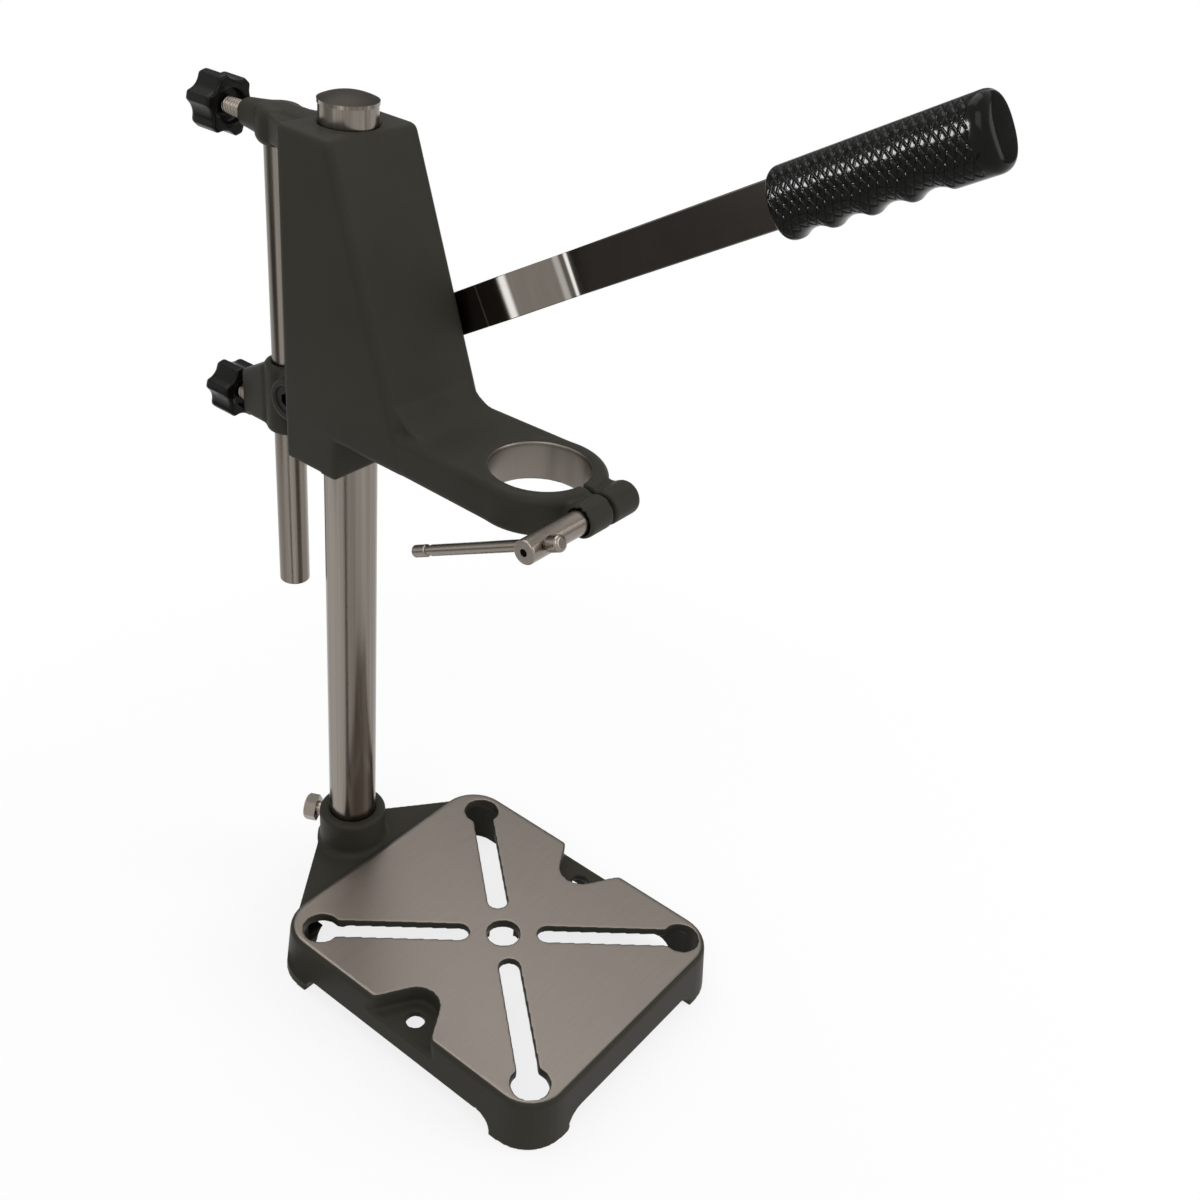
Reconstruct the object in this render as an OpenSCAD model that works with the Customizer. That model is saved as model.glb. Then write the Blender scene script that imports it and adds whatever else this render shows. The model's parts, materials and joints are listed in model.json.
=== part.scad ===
// Bench drill stand: slotted cast base, round column, sprung head with a drill collar, and a feed lever.
// Millimetres. Origin: centre of the table's hole, on the table's face. +Z up, front is -Y, lever side is +X.

/* [Table and base] */
// Width of the machined table
table_w = 147; // [140:1:160]
// Length of the machined table, front to back
table_l = 173; // [164:1:184]
// How far the table's hole lies ahead of the table's middle
hole_ahead = 2.5; // [0:0.25:4]
// Corner radius of the table
table_corner_r = 18; // [14:1:20]
// Height of the table's face above the bench
table_h = 30; // [28:1:36]
// Radius of the painted edge round the table's face
table_edge_r = 2.5; // [1.5:0.5:4]
// Thickness of the table plate
plate_t = 4; // [3:0.5:6]
// Wall thickness of the skirt
skirt_t = 5; // [4:0.5:6]
// How far the skirt spreads from the table's edge to the bench
skirt_flare = 2.5; // [0.5:0.5:3.5]
// Height of the feet below the skirt's edge
foot_h = 10; // [8:1:12]
// Width of each foot along the skirt
foot_w = 28; // [26:1:34]
// Diameter of the hole in the middle of the table
table_hole_d = 17; // [14:0.5:20]
// Width of the four diagonal slots
slot_w = 10.5; // [8:0.5:12]
// Distance from the table's middle to the inner end of a slot
slot_start = 18; // [16:1:24]
// Diameter of the keyhole at the outer end of a slot
keyhole_d = 18.5; // [16:0.5:20]
// Distance from the table's long edge in to the middle of a keyhole
keyhole_in = 12; // [11.5:0.5:15]
// Lengthways place of the keyholes
keyhole_y = 71; // [66:0.5:73]
// Radius of the round end of a bench bolt's notch
notch_r = 11.5; // [10:0.5:13]
// Angle at which each side of a notch opens outwards
notch_flare = 30; // [15:1:35]
// Drop from the table's face to the notch's floor
notch_drop = 10; // [9:0.5:12]
// Diameter of the two bench bolt holes
bench_hole_d = 9.5; // [6:0.5:11]
// Distance from the table's long edge in to a bench bolt hole
bench_hole_in = 8.5; // [7.5:0.5:10.5]

/* [Column] */
// Distance from the column's axis to the drill axis
reach = 112.75; // [112:0.25:116]
// Diameter of the column
column_d = 25; // [23:0.5:25]
// Wall of the column tube
column_wall = 2.5; // [2:0.25:4]
// Height of the column's top above the table
column_top = 398; // [394:1:420]
// Outer diameter of the base's column socket
socket_d = 36; // [34:0.5:38]
// Height of the socket above the table
socket_h = 18; // [16:1:22]
// Angle of the socket's bolt, from straight back towards the left
socket_bolt_angle = 28; // [15:1:40]

/* [Head] */
// Width of the head at its back
head_w = 50; // [48:0.5:51]
// Wall thickness of the head's casting
head_wall = 5; // [4:0.25:5.5]
// Radius of the casting's outer edges
cast_edge_r = 4; // [2:0.25:4.5]
// Height of the head's top above the table
head_top = 390; // [386:1:391]
// Height of the head's underside above the table
head_bottom = 240; // [238:1:244]
// Length of each of the head's two bearings on the column
bearing_h = 16; // [14:0.5:17]
// Distance from the column's axis forward to the head's face, at the top
face_ahead = 16.25; // [15.5:0.25:19]
// Lean of the head's front face from upright
face_lean = 18.8; // [17:0.2:22]
// Distance from the column's axis back to the walls' rear edges
wall_back = 16.25; // [15:0.25:16.5]
// Height of the arm's and the collar's upper face above the table
collar_top = 277.5; // [275:0.5:280]
// Height of the collar and the arm
collar_h = 19; // [17:0.5:21]
// Bore of the drill collar
collar_d = 43; // [38:0.5:44]
// Wall of the drill collar
collar_wall = 7.5; // [6:0.5:9]
// Radius of the hollow between the head's face and the arm
arm_fillet_r = 24; // [12:1:26]
// Diameter of the two clamp lugs
lug_d = 15; // [14.5:0.5:17]
// Distance from the drill axis to the clamp screw
lug_ahead = 33; // [32.5:0.5:36]
// Length of the near lug, from the split
near_lug_l = 14.5; // [13:0.5:18]
// Length of the far lug, from the split
far_lug_l = 16.5; // [13:0.5:18]
// Width of the collar's split
split_w = 2; // [1.5:0.25:3]
// Sideways place of the collar's split
split_x = 0; // [-2:0.5:2]

/* [Feed] */
// Feed travel of the head
feed_travel = 60; // [50:1:60]
// Diameter of the guide rod
rod_d = 15; // [14:0.5:16]
// Length of the guide rod
rod_l = 235; // [230:1:240]
// Distance from the column's axis back to the guide rod
rod_behind = 41.75; // [41:0.25:44]
// Length of the bracket's sleeve on the guide rod
sleeve_h = 35; // [33:1:38]
// Height of the sleeve's lower end above the table
sleeve_z = 236; // [233:1:237]
// Height of the bracket's ring on the column
bracket_ring_h = 17; // [14:0.5:18]
// Wall of the bracket's ring
bracket_ring_wall = 6.5; // [5.5:0.25:6.75]
// Distance from the column's axis back to the lever's fulcrum
fulcrum_behind = 27.25; // [26.5:0.25:28]
// Height of the fulcrum above the table
fulcrum_z = 260; // [258:0.5:262]
// Diameter of the fulcrum bolt
fulcrum_d = 8; // [6:0.5:8]
// Wire of the return spring
spring_wire = 2; // [1.6:0.1:2]
// Mean diameter of the return spring
spring_d = 29; // [28.8:0.1:29.2]
// Open turns of the return spring
spring_turns = 11; // [9:1:13]

/* [Lever] */
// Slope of the lever at rest
lever_slope = 31; // [29:0.5:32]
// Width of the lever's bar
bar_w = 18.75; // [16:0.25:19]
// Thickness of the lever's bar
bar_t = 5; // [4:0.25:6]
// Gap between the head's side and the lever
lever_gap = 3; // [2.75:0.25:4]
// Sideways step in the lever
jog_out = 14.5; // [10:0.5:18]
// Distance from the fulcrum to the start of the step
jog_from = 113; // [106:1:118]
// Length of the step along the lever
jog_l = 28; // [24:1:40]
// Distance from the fulcrum to the grip
grip_from = 248.5; // [240:0.5:256]
// Length of the grip
grip_l = 87.5; // [84:0.5:100]
// Height of the grip, across the bar
grip_h = 27.8; // [26:0.2:30]
// Width of the grip
grip_w = 24.5; // [22:0.5:28]
// Number of finger hollows in the grip
finger_count = 4; // [3:1:4]
// Distance of the drive pin ahead of the fulcrum
pin_ahead = 52; // [51:0.5:53]
// Diameter of the drive pin
pin_d = 8; // [7:0.5:8]

/* [Knobs and clamp screw] */
// Diameter of the two star knobs
knob_d = 27; // [25:0.5:32]
// Number of lobes on a knob
knob_lobes = 6; // [5:1:7]
// Thickness of a knob's lobes
knob_t = 17; // [14:0.5:20]
// Diameter of the knobs' studs
stud_d = 8; // [6:0.5:8]
// Bare length of stud between the upper knob and its boss
upper_bare = 10; // [3:0.5:12]
// Bare length of stud between the lower knob and its boss
lower_bare = 4.5; // [2:0.5:8]
// Diameter of the clamp screw's barrel
barrel_d = 10.5; // [9.5:0.25:10.75]
// Length of the barrel outside the near lug
barrel_l = 33; // [28:0.5:36]
// Diameter of the clamp screw's thread
clamp_d = 8; // [6:0.5:8]
// Diameter of the tommy bar
tommy_d = 5; // [4:0.25:5.5]
// Length of the tommy bar
tommy_l = 85; // [75:1:95]
// Slope of the tommy bar at rest
tommy_slope = 26.5; // [0:0.5:60]

/* [Fits] */
// Radial clearance of parts that slide or turn on each other
running_gap = 0.05; // [0.02:0.01:0.1]
// Radial clearance of a screw in its hole
screw_gap = 0.2; // [0.1:0.05:0.3]
// Gap between neighbouring pieces that move apart
seat_gap = 0.3; // [0.2:0.05:0.4]
// Sideways play of the drive pin in the lever's slot
slot_play = 1.35; // [1.3:0.05:1.5]

/* [Hidden] */
$fn = 48;
hull_fn = 24;
cut = 1;
sliver = 0.01;
overlap = 0.1;

paint = [0.20, 0.20, 0.18];
steel = [0.62, 0.60, 0.57];
zinc = [0.72, 0.71, 0.68];
black_plastic = [0.06, 0.06, 0.06];
black_rubber = [0.09, 0.09, 0.09];
black_oxide = [0.14, 0.14, 0.14];

bench_z = -table_h;
skirt_z = bench_z + foot_h;
skirt_out = table_edge_r + skirt_flare;
hollow_in = skirt_t - table_edge_r;
bottom_w = table_w + 2 * skirt_out;
bottom_l = table_l + 2 * skirt_out;
arch_r = 0.95 * foot_h;
rib_t = 4;
rib_h = 12;
collar_depth = 5;
hole_boss_wall = 4;
notch_wall = 4;
notch_mouth_r = 5;
ledge_t = 4;
bench_hole_spacing = table_w - 2 * bench_hole_in;
notch_edge = table_w / 2 + table_edge_r - bench_hole_spacing / 2;
notch_far = notch_edge + skirt_flare + cut;
keyhole_x = table_w / 2 - keyhole_in;
slot_angle = atan2(keyhole_y, keyhole_x);
keyhole_out = norm([keyhole_x, keyhole_y]);
neck_drop = 3;
neck_step = 0.5;
neck_draft = 2;
neck_wall = 5;
socket_edge_r = 2;
socket_fillet_r = 4;
shoulder_w = 4;
shoulder_t = 4;
shoulder_z = skirt_z + shoulder_t;
socket_bolt_drop = 6.5;
socket_bolt_z = socket_h - socket_bolt_drop;
socket_bolt_bare = 2;

column_bore = column_d + 2 * running_gap;
column_end_z = shoulder_z + seat_gap;
cap_rim_h = 1.5;
cap_overhang = 0.4;
cap_rise = 3;
cap_plug_l = 10;

collar_outer_r = collar_d / 2 + collar_wall;
collar_bottom = collar_top - collar_h;
collar_chamfer = 1;
tower_back = reach + wall_back;
face_top = reach - face_ahead;
face_slope = tan(face_lean);
bearing_wall = 5;
bearing_lip = 3;
box_ahead = column_d / 2 + bearing_wall;
box_front = reach - box_ahead;
arm_step = 0.15;
arm_bar_w = 45;
rear_edge_r = 2;
side_taper = (collar_outer_r - head_w / 2) / tower_back;
cavity_floor = head_bottom + bearing_h;
arm_floor_t = 4;
arm_floor = collar_bottom + arm_floor_t;
cavity_top = head_top - bearing_h;
cavity_w = head_w - 2 * head_wall;
lug_z = collar_top - lug_d / 2;
lug_edge_r = 2;
lug_recess_play = 0.8;
lug_recess_d = barrel_d + 2 * lug_recess_play;
lug_recess_l = 5;

rod_y = reach + rod_behind;
rod_bore = rod_d + 2 * running_gap;
ear_drop = 2;
ear_cover = 3;
ear_top = head_top - ear_drop;
rod_top = ear_top - ear_cover - seat_gap;
rod_edge_r = 0.8;
ear_wall = 3.5;
ear_edge_r = 5;
ear_ridge_r = 9.3;
ear_ridge_in = 0.3;
ear_r = rod_d / 2 + ear_wall;
ear_web_w = 17;
upper_knob_drop = 10;
upper_knob_z = head_top - upper_knob_drop;
upper_boss_l = 21;
upper_boss_root_d = 18;
upper_boss_tip_d = 12.5;
ear_bottom = upper_knob_z - upper_boss_root_d / 2;

buffer_h = arm_floor - cavity_floor;
buffer_wall = 2.5;
buffer_d = column_d + 2 * buffer_wall;
bracket_z = cavity_floor + buffer_h + seat_gap;
bracket_ring_top = bracket_z + bracket_ring_h;
bracket_ring_r = column_d / 2 + bracket_ring_wall;
bracket_web_w = 20;
bracket_slit = 3;
sleeve_wall = 3.5;
sleeve_r = rod_d / 2 + sleeve_wall;
sleeve_edge_r = 2;
lower_knob_up = 7.25;
lower_knob_z = sleeve_z + lower_knob_up;
lower_boss_l = 21;
lower_boss_under = 7;
lower_boss_tip_w = 15;
lower_boss_tip_h = 24;
lower_boss_root_w = 20;
lower_boss_root_h = 31;
lower_boss_edge_r = 2.5;

fulcrum_y = reach + fulcrum_behind;
fulcrum_boss_d = 20;
fulcrum_near_x = -15.5;
fulcrum_boss_l = 37.5;
fulcrum_far_x = fulcrum_near_x + fulcrum_boss_l;
cap_head_ratio = 1.625;
key_ratio = 0.75;
cap_head_d = fulcrum_d * cap_head_ratio;
cap_head_h = fulcrum_d;
cap_head_room = 1;
hex_af = 13;
hex_h = 6.5;
hex_chamfer = 0.2;
washer_t = 1.6;
thread_proud = 2;

lever_x = head_w / 2 + lever_gap;
bush_wall = 2;
sleeve_bush_d = fulcrum_d + 2 * bush_wall;
eye_d = 24;
bush_end_x = lever_x + bar_t + seat_gap;
spacer_d = 20;
pin_drop = 1.4;
bar_line = 10.9;
pin_up = bar_line / cos(lever_slope) + pin_ahead * tan(lever_slope) - pin_drop;
pin_y = fulcrum_y - pin_ahead;
pin_z = fulcrum_z + pin_up;
pin_seat_deep = 0.3;
pin_seat_x = side_x(pin_y) - pin_seat_deep;
pin_boss_d = 16;
pin_boss_l = 6;
pin_thread_d = 6;
pin_head_d = 13;
pin_head_h = 3.5;
drive_washer_d = 16;
slot_spare = 3;
slot_low = pin_ahead - slot_spare;
slot_high = pin_ahead * cos(lever_slope) + (pin_up + pin_drop) * sin(lever_slope) + slot_spare;
bar_tail = 12;
grip_solid_l = 20;
bar_in_grip = grip_l - grip_solid_l;

grip_drop = 1.1;
grip_side_r = 11;
grip_end_r = 8;
grip_corner_r = 4.5;
finger_r = 15;
finger_deep = 2.4;
finger_pitch = 17;
finger_first = 13;
bend_run = 4;

spring_seat_t = 1.5;
seat_inset = 1;
seat_d = 2 * (bracket_ring_r - seat_inset);
end_turn_gap = 0.6;
spring_low = bracket_ring_top + spring_seat_t + seat_gap;
spring_high = cavity_top - seat_gap;
spring_rings = 10;
spring_sides = 6;

scallop_share = 0.33;
scallop_deep_share = 0.09;
upper_knob_turn = 30;
lower_knob_turn = 15;
knob_dome = 3;
knob_hollow_d = 15;
knob_hollow_l = 3;
stud_in_knob = 12;

near_lug_x = split_x - split_w / 2 - near_lug_l;
far_lug_x = split_x + split_w / 2 + far_lug_l;
barrel_out_x = near_lug_x - barrel_l;
barrel_in_x = near_lug_x + lug_recess_l - seat_gap;
barrel_pip_d = 3.4;
barrel_pip_l = 4;
barrel_chamfer = 0.8;
clamp_short = 1;
tommy_inset = 9;
tommy_stop_step = 1;
tommy_stop_d = tommy_d + 2 * tommy_stop_step;
tommy_stop_l = 7;
tommy_stop_edge_r = 1.5;
tommy_neck_step = 0.5;
tommy_neck_d = tommy_d - 2 * tommy_neck_step;
tommy_neck_l = 3;
tommy_head_step = 0.25;
tommy_head_d = tommy_d + 2 * tommy_head_step;
tommy_head_l = 8;
tommy_head_edge_r = 0.8;

// Plan of a rectangle with round corners, about its middle
module round_plan(w, l, r) {
    square([w - 2 * r, l], center = true);
    square([w, l - 2 * r], center = true);
    for (sx = [-1, 1], sy = [-1, 1])
        translate([sx * (w / 2 - r), sy * (l / 2 - r)]) circle(r);
}

// Upright post with round upper and lower edges
module round_post(r, h, edge) {
    rotate_extrude() intersection() {
        translate([0, h / 2]) round_plan(2 * r, h, edge);
        square([r + cut, h]);
    }
}

// Hollow corner round the foot of a post
module fillet_ring(r, f) {
    rotate_extrude() translate([r - overlap, 0]) difference() {
        square(f);
        translate([f, f]) circle(f);
    }
}

// Washer with its lower face at zero
module washer_disc(outer, inner, t) {
    difference() {
        cylinder(h = t, d = outer);
        translate([0, 0, -cut]) cylinder(h = t + 2 * cut, d = inner);
    }
}

// Turn a shape made along +Z to point along +X or +Y
module along_x() { rotate([0, 90, 0]) children(); }
module along_y() { rotate([-90, 0, 0]) children(); }

// Hexagon bar by its width across the flats
module hex_bar(af, h) { cylinder(h = h, d = af / cos(30), $fn = 6); }

// Base casting

// Slice of the base's outline that stands out from the table's edge, with its upper face at a height
module outline_slice(out, z, t) {
    translate([0, hole_ahead, z - t]) linear_extrude(t)
        round_plan(table_w + 2 * out, table_l + 2 * out, table_corner_r + out, $fn = 32);
}

module base_outline() {
    hull() {
        for (a = [0 : 30 : 90]) outline_slice(table_edge_r * sin(a), -table_edge_r * (1 - cos(a)), sliver);
        outline_slice(skirt_out, bench_z + cut, cut);
    }
}

// Web from the rear corners to the column's socket, shrunk by a wall for its hollow
module neck_block(shrink, low, high) {
    corner = [table_w / 2 - table_corner_r, hole_ahead + table_l / 2 - table_corner_r];
    corner_r = table_corner_r + neck_step - shrink;
    hull() {
        for (side = [-1, 1])
            translate([side * corner.x, corner.y, low])
                cylinder(h = high - low, r1 = corner_r + neck_draft, r2 = corner_r, $fn = 32);
        translate([0, reach, low])
            cylinder(h = high - low, r1 = socket_d / 2 + neck_draft - shrink,
                     r2 = socket_d / 2 - shrink, $fn = 32);
    }
}

module bench_ear_block() {
    inner = bench_hole_spacing / 2 - notch_r - notch_wall;
    half_l = notch_side(notch_edge) + notch_wall;
    for (side = [0, 1]) mirror([side, 0, 0])
        translate([inner, -half_l, -notch_drop - ledge_t])
            cube([table_w / 2 - inner, 2 * half_l, notch_drop + ledge_t]);
}

module base_stiffeners() {
    translate([0, 0, -rib_h]) difference() {
        union() {
            linear_extrude(rib_h) square([table_w, rib_t], center = true);
            linear_extrude(rib_h) square([rib_t, table_l], center = true);
        }
        translate([0, 0, -cut]) cylinder(h = rib_h + 2 * cut, d = table_hole_d + hole_boss_wall);
    }
    translate([0, 0, -collar_depth]) cylinder(h = collar_depth, d = table_hole_d + 2 * hole_boss_wall);
    for (sx = [-1, 1], sy = [-1, 1])
        translate([sx * keyhole_x, sy * keyhole_y, -collar_depth])
            cylinder(h = collar_depth, d = keyhole_d + 2 * hole_boss_wall);
    bench_ear_block();
}

module base_hollow() {
    difference() {
        translate([0, hole_ahead, bench_z - cut]) linear_extrude(table_h - plate_t + cut)
            round_plan(table_w - 2 * hollow_in, table_l - 2 * hollow_in, table_corner_r - hollow_in);
        base_stiffeners();
    }
}

module foot_arches() {
    translate([0, hole_ahead, bench_z]) {
        rotate([90, 0, 0])
            linear_extrude(bottom_l + 2 * cut, center = true)
                round_plan(bottom_w - 2 * foot_w, 2 * foot_h, arch_r);
        rotate([90, 0, 90])
            linear_extrude(bottom_w + 2 * cut, center = true)
                round_plan(bottom_l - 2 * foot_w, 2 * foot_h, arch_r);
    }
}

module table_slots() {
    through = table_h + 2 * cut;
    translate([0, 0, -table_h - cut]) {
        cylinder(h = through, d = table_hole_d);
        for (sx = [0, 1], sy = [0, 1]) mirror([sx, 0, 0]) mirror([0, sy, 0]) {
            translate([keyhole_x, keyhole_y, 0]) cylinder(h = through, d = keyhole_d);
            rotate([0, 0, slot_angle]) {
                translate([slot_start + slot_w / 2, -slot_w / 2, 0])
                    cube([keyhole_out - slot_start - slot_w / 2, slot_w, through]);
                translate([slot_start + slot_w / 2, 0, 0]) cylinder(h = through, d = slot_w);
            }
        }
    }
}

// Half width of a notch at a distance outwards from its bolt's axis
function notch_side(x) = notch_r / cos(notch_flare) + x * tan(notch_flare);

// Plan of a notch about its bolt's axis, open towards +X, with round corners at its mouth
module notch_plan() {
    start = notch_r * [-sin(notch_flare), cos(notch_flare)];
    corner = [notch_edge, notch_side(notch_edge)];
    run = notch_mouth_r * tan(45 - notch_flare / 2);
    circle(notch_r);
    polygon([
        start, [notch_far, notch_side(notch_far)],
        [notch_far, -notch_side(notch_far)], [start.x, -start.y]
    ]);
    for (side = [0, 1]) mirror([0, side]) difference() {
        polygon([
            corner - run * [cos(notch_flare), sin(notch_flare)], [notch_far, corner.y],
            [notch_far, corner.y + run], corner + [0, run]
        ]);
        translate(corner + [-notch_mouth_r, run]) circle(notch_mouth_r);
    }
}

module bench_notches() {
    for (side = [0, 1]) mirror([side, 0, 0]) translate([bench_hole_spacing / 2, 0, 0]) {
        translate([0, 0, -notch_drop]) linear_extrude(notch_drop + cut) notch_plan();
        translate([0, 0, bench_z]) cylinder(h = table_h, d = bench_hole_d);
    }
}

module base_casting() {
    color(paint) difference() {
        union() {
            difference() {
                union() {
                    base_outline();
                    neck_block(0, skirt_z, -neck_drop);
                }
                base_hollow();
                difference() {
                    neck_block(neck_wall, skirt_z - cut, -neck_drop - neck_wall);
                    translate([0, hole_ahead + table_l / 2 - hollow_in - table_w, bench_z])
                        linear_extrude(2 * table_h) square([2 * table_w, 2 * table_w], center = true);
                }
            }
            translate([0, reach, skirt_z]) round_post(socket_d / 2, socket_h - skirt_z, socket_edge_r);
            translate([0, reach, -neck_drop]) intersection() {
                fillet_ring(socket_d / 2, socket_fillet_r);
                rotate_extrude() square([socket_d / 2 + neck_draft, socket_fillet_r]);
            }
        }
        table_slots();
        bench_notches();
        foot_arches();
        translate([0, reach, shoulder_z]) cylinder(h = socket_h - shoulder_z + cut, d = column_bore);
        translate([0, reach, skirt_z - cut])
            cylinder(h = table_h, d = column_d - 2 * shoulder_w);
        socket_bolt_place() cylinder(h = socket_d, d = stud_d + 2 * screw_gap);
    }
}

// Column

module column() {
    color(steel) translate([0, reach, column_end_z]) difference() {
        cylinder(h = column_top - column_end_z, d = column_d);
        translate([0, 0, -cut])
            cylinder(h = column_top - column_end_z + 2 * cut, d = column_d - 2 * column_wall);
    }
}

module column_cap() {
    rim_r = column_d / 2 + cap_overhang;
    ball_r = (rim_r * rim_r + cap_rise * cap_rise) / (2 * cap_rise);
    plug_r = column_d / 2 - column_wall - running_gap;
    color(steel) translate([0, reach, column_top]) {
        cylinder(h = cap_rim_h, r = rim_r);
        translate([0, 0, -cap_plug_l]) cylinder(h = cap_plug_l, r = plug_r);
        translate([0, 0, cap_rim_h]) rotate_extrude() intersection() {
            translate([0, cap_rise - ball_r]) circle(ball_r, $fn = 96);
            square([rim_r, cap_rise]);
        }
    }
}

// Points the socket's bolt at the column, with zero at the column's axis
module socket_bolt_place() {
    translate([0, reach, socket_bolt_z]) rotate([0, 0, socket_bolt_angle]) along_y() children();
}

module socket_bolt() {
    tip = column_d / 2 + seat_gap;
    color(zinc) socket_bolt_place() {
        translate([0, 0, tip]) cylinder(h = socket_d / 2 + socket_bolt_bare - tip, d = stud_d);
        translate([0, 0, socket_d / 2 + socket_bolt_bare]) intersection() {
            hex_bar(hex_af, hex_h);
            cylinder(h = hex_h, r1 = hex_af / 2 + hex_h, r2 = hex_af / 2 - hex_chamfer);
        }
    }
}

// Head casting

// Front face at a height, and the sides, which widen from the back to meet the collar
function face_y(z) = face_top - (head_top - z) * face_slope;
function side_x(y) = head_w / 2 + (tower_back - y) * side_taper;

// Round corner of the tower, on both sides
module tower_corner(y, z, r) {
    for (side = [-1, 1]) translate([side * (side_x(y) - r), y, z]) sphere(r, $fn = hull_fn);
}

module tower_block() {
    hull() {
        tower_corner(face_top + cast_edge_r, head_top - cast_edge_r, cast_edge_r);
        tower_corner(face_y(collar_bottom) + cast_edge_r, collar_bottom + cast_edge_r, cast_edge_r);
        for (z = [collar_bottom + rear_edge_r, head_top - rear_edge_r])
            tower_corner(tower_back - rear_edge_r, z, rear_edge_r);
    }
}

// Block round the lower bearing
module bearing_block() {
    r = rear_edge_r;
    translate([0, 0, head_bottom]) linear_extrude(cavity_floor - head_bottom + cast_edge_r)
        hull() for (side = [-1, 1], y = [box_front + r, tower_back - arm_step - r])
            translate([side * (side_x(y) - arm_step - r), y]) circle(r, $fn = hull_fn);
}

// Flat arm from the tower to the collar: two crossing bars, each with round edges along one side
module arm_bars() {
    length = face_y(collar_bottom) + 2 * cast_edge_r;
    for (side = [0, 1]) mirror([side, 0, 0])
        translate([side_x(0) - arm_step, 0, (collar_top + collar_bottom) / 2]) rotate(atan(side_taper))
            translate([-arm_bar_w / 2, length, 0]) rotate([90, 0, 0]) linear_extrude(length)
                round_plan(arm_bar_w, collar_h - 2 * arm_step, cast_edge_r);
}

// Hollow corner between the leaning face and the arm
module arm_fillet() {
    turn = 90 - face_lean;
    run = arm_fillet_r * tan(turn / 2);
    corner = face_y(collar_top);
    width = 2 * (side_x(corner) - cast_edge_r);
    rotate([90, 0, 90]) linear_extrude(width, center = true) difference() {
        polygon([
            [corner + cast_edge_r, collar_top - cast_edge_r],
            [corner - run, collar_top - cast_edge_r],
            [corner - run, collar_top],
            [corner + run * sin(face_lean), collar_top + run * cos(face_lean)],
            [corner + run * sin(face_lean) + cast_edge_r, collar_top + run * cos(face_lean)]
        ]);
        translate([corner - run, collar_top + arm_fillet_r]) circle(arm_fillet_r, $fn = 96);
    }
}

module tower_cavity() {
    skin = head_wall / cos(face_lean);
    rotate([90, 0, 90]) linear_extrude(cavity_w, center = true) polygon([
        [tower_back + cut, cavity_floor],
        [box_front + bearing_lip, cavity_floor],
        [box_front + bearing_lip, arm_floor],
        [face_y(arm_floor) + skin, arm_floor],
        [face_y(cavity_top) + skin, cavity_top],
        [tower_back + cut, cavity_top]
    ]);
}

module rod_ear() {
    ridge_y = tower_back - ear_ridge_in;
    translate([0, rod_y, ear_bottom]) round_post(ear_r, ear_top - ear_bottom, ear_edge_r);
    translate([0, ridge_y, upper_knob_z]) along_y() cylinder(h = rod_y - ridge_y, r = ear_ridge_r);
    translate([0, 0, cavity_top]) linear_extrude(bearing_h - cast_edge_r) polygon([
        [-cavity_w / 2, tower_back - head_wall], [-ear_web_w / 2, rod_y],
        [ear_web_w / 2, rod_y], [cavity_w / 2, tower_back - head_wall]
    ]);
    translate([0, rod_y, upper_knob_z]) along_y()
        cylinder(h = upper_boss_l, d1 = upper_boss_root_d, d2 = upper_boss_tip_d);
}

module clamp_lugs() {
    translate([near_lug_x, -lug_ahead, lug_z]) along_x()
        round_post(lug_d / 2, far_lug_x - near_lug_x, lug_edge_r);
    translate([near_lug_x + lug_edge_r, -lug_ahead, lug_z - lug_d / 2 + lug_edge_r])
        cube([far_lug_x - near_lug_x - 2 * lug_edge_r, lug_ahead - collar_d / 2, lug_d - 2 * lug_edge_r]);
}

module collar_cuts() {
    translate([0, 0, collar_bottom - cut]) cylinder(h = collar_h + 2 * cut, d = collar_d, $fn = 96);
    translate([0, 0, collar_top - collar_chamfer])
        cylinder(h = collar_chamfer + sliver, d1 = collar_d, d2 = collar_d + 2 * collar_chamfer, $fn = 96);
    translate([split_x - split_w / 2, -lug_ahead - lug_d, collar_bottom - cut])
        cube([split_w, lug_ahead + lug_d - collar_d / 4, lug_d + collar_h]);
    translate([near_lug_x - cut, -lug_ahead, lug_z]) along_x()
        cylinder(h = far_lug_x - near_lug_x + 2 * cut, d = clamp_d + 2 * screw_gap);
    translate([near_lug_x - cut, -lug_ahead, lug_z]) along_x()
        cylinder(h = lug_recess_l + cut, d = lug_recess_d);
}

module head_casting() {
    color(paint) difference() {
        union() {
            difference() {
                union() {
                    tower_block();
                    bearing_block();
                    arm_bars();
                }
                tower_cavity();
            }
            arm_fillet();
            translate([0, 0, collar_bottom]) round_post(collar_outer_r, collar_h, cast_edge_r, $fn = 96);
            clamp_lugs();
            rod_ear();
            translate([cavity_w / 2 - pin_boss_l, pin_y, pin_z]) along_x()
                cylinder(h = pin_boss_l + head_wall / 2, d = pin_boss_d);
        }
        collar_cuts();
        translate([0, reach, head_bottom - cut])
            cylinder(h = head_top - head_bottom + 2 * cut, d = column_bore);
        translate([0, rod_y, ear_bottom - cut])
            cylinder(h = ear_top - ear_cover - ear_bottom + cut, d = rod_bore);
        translate([0, rod_y, upper_knob_z]) along_y()
            cylinder(h = upper_boss_l + cut, d = stud_d + 2 * screw_gap);
        translate([cavity_w / 2 - pin_boss_l - cut, pin_y, pin_z]) along_x()
            cylinder(h = pin_seat_x - cavity_w / 2 + pin_boss_l + 2 * cut, d = pin_thread_d + 2 * screw_gap);
        translate([pin_seat_x, pin_y, pin_z]) along_x() cylinder(h = head_wall, d = pin_head_d);
    }
}

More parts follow.
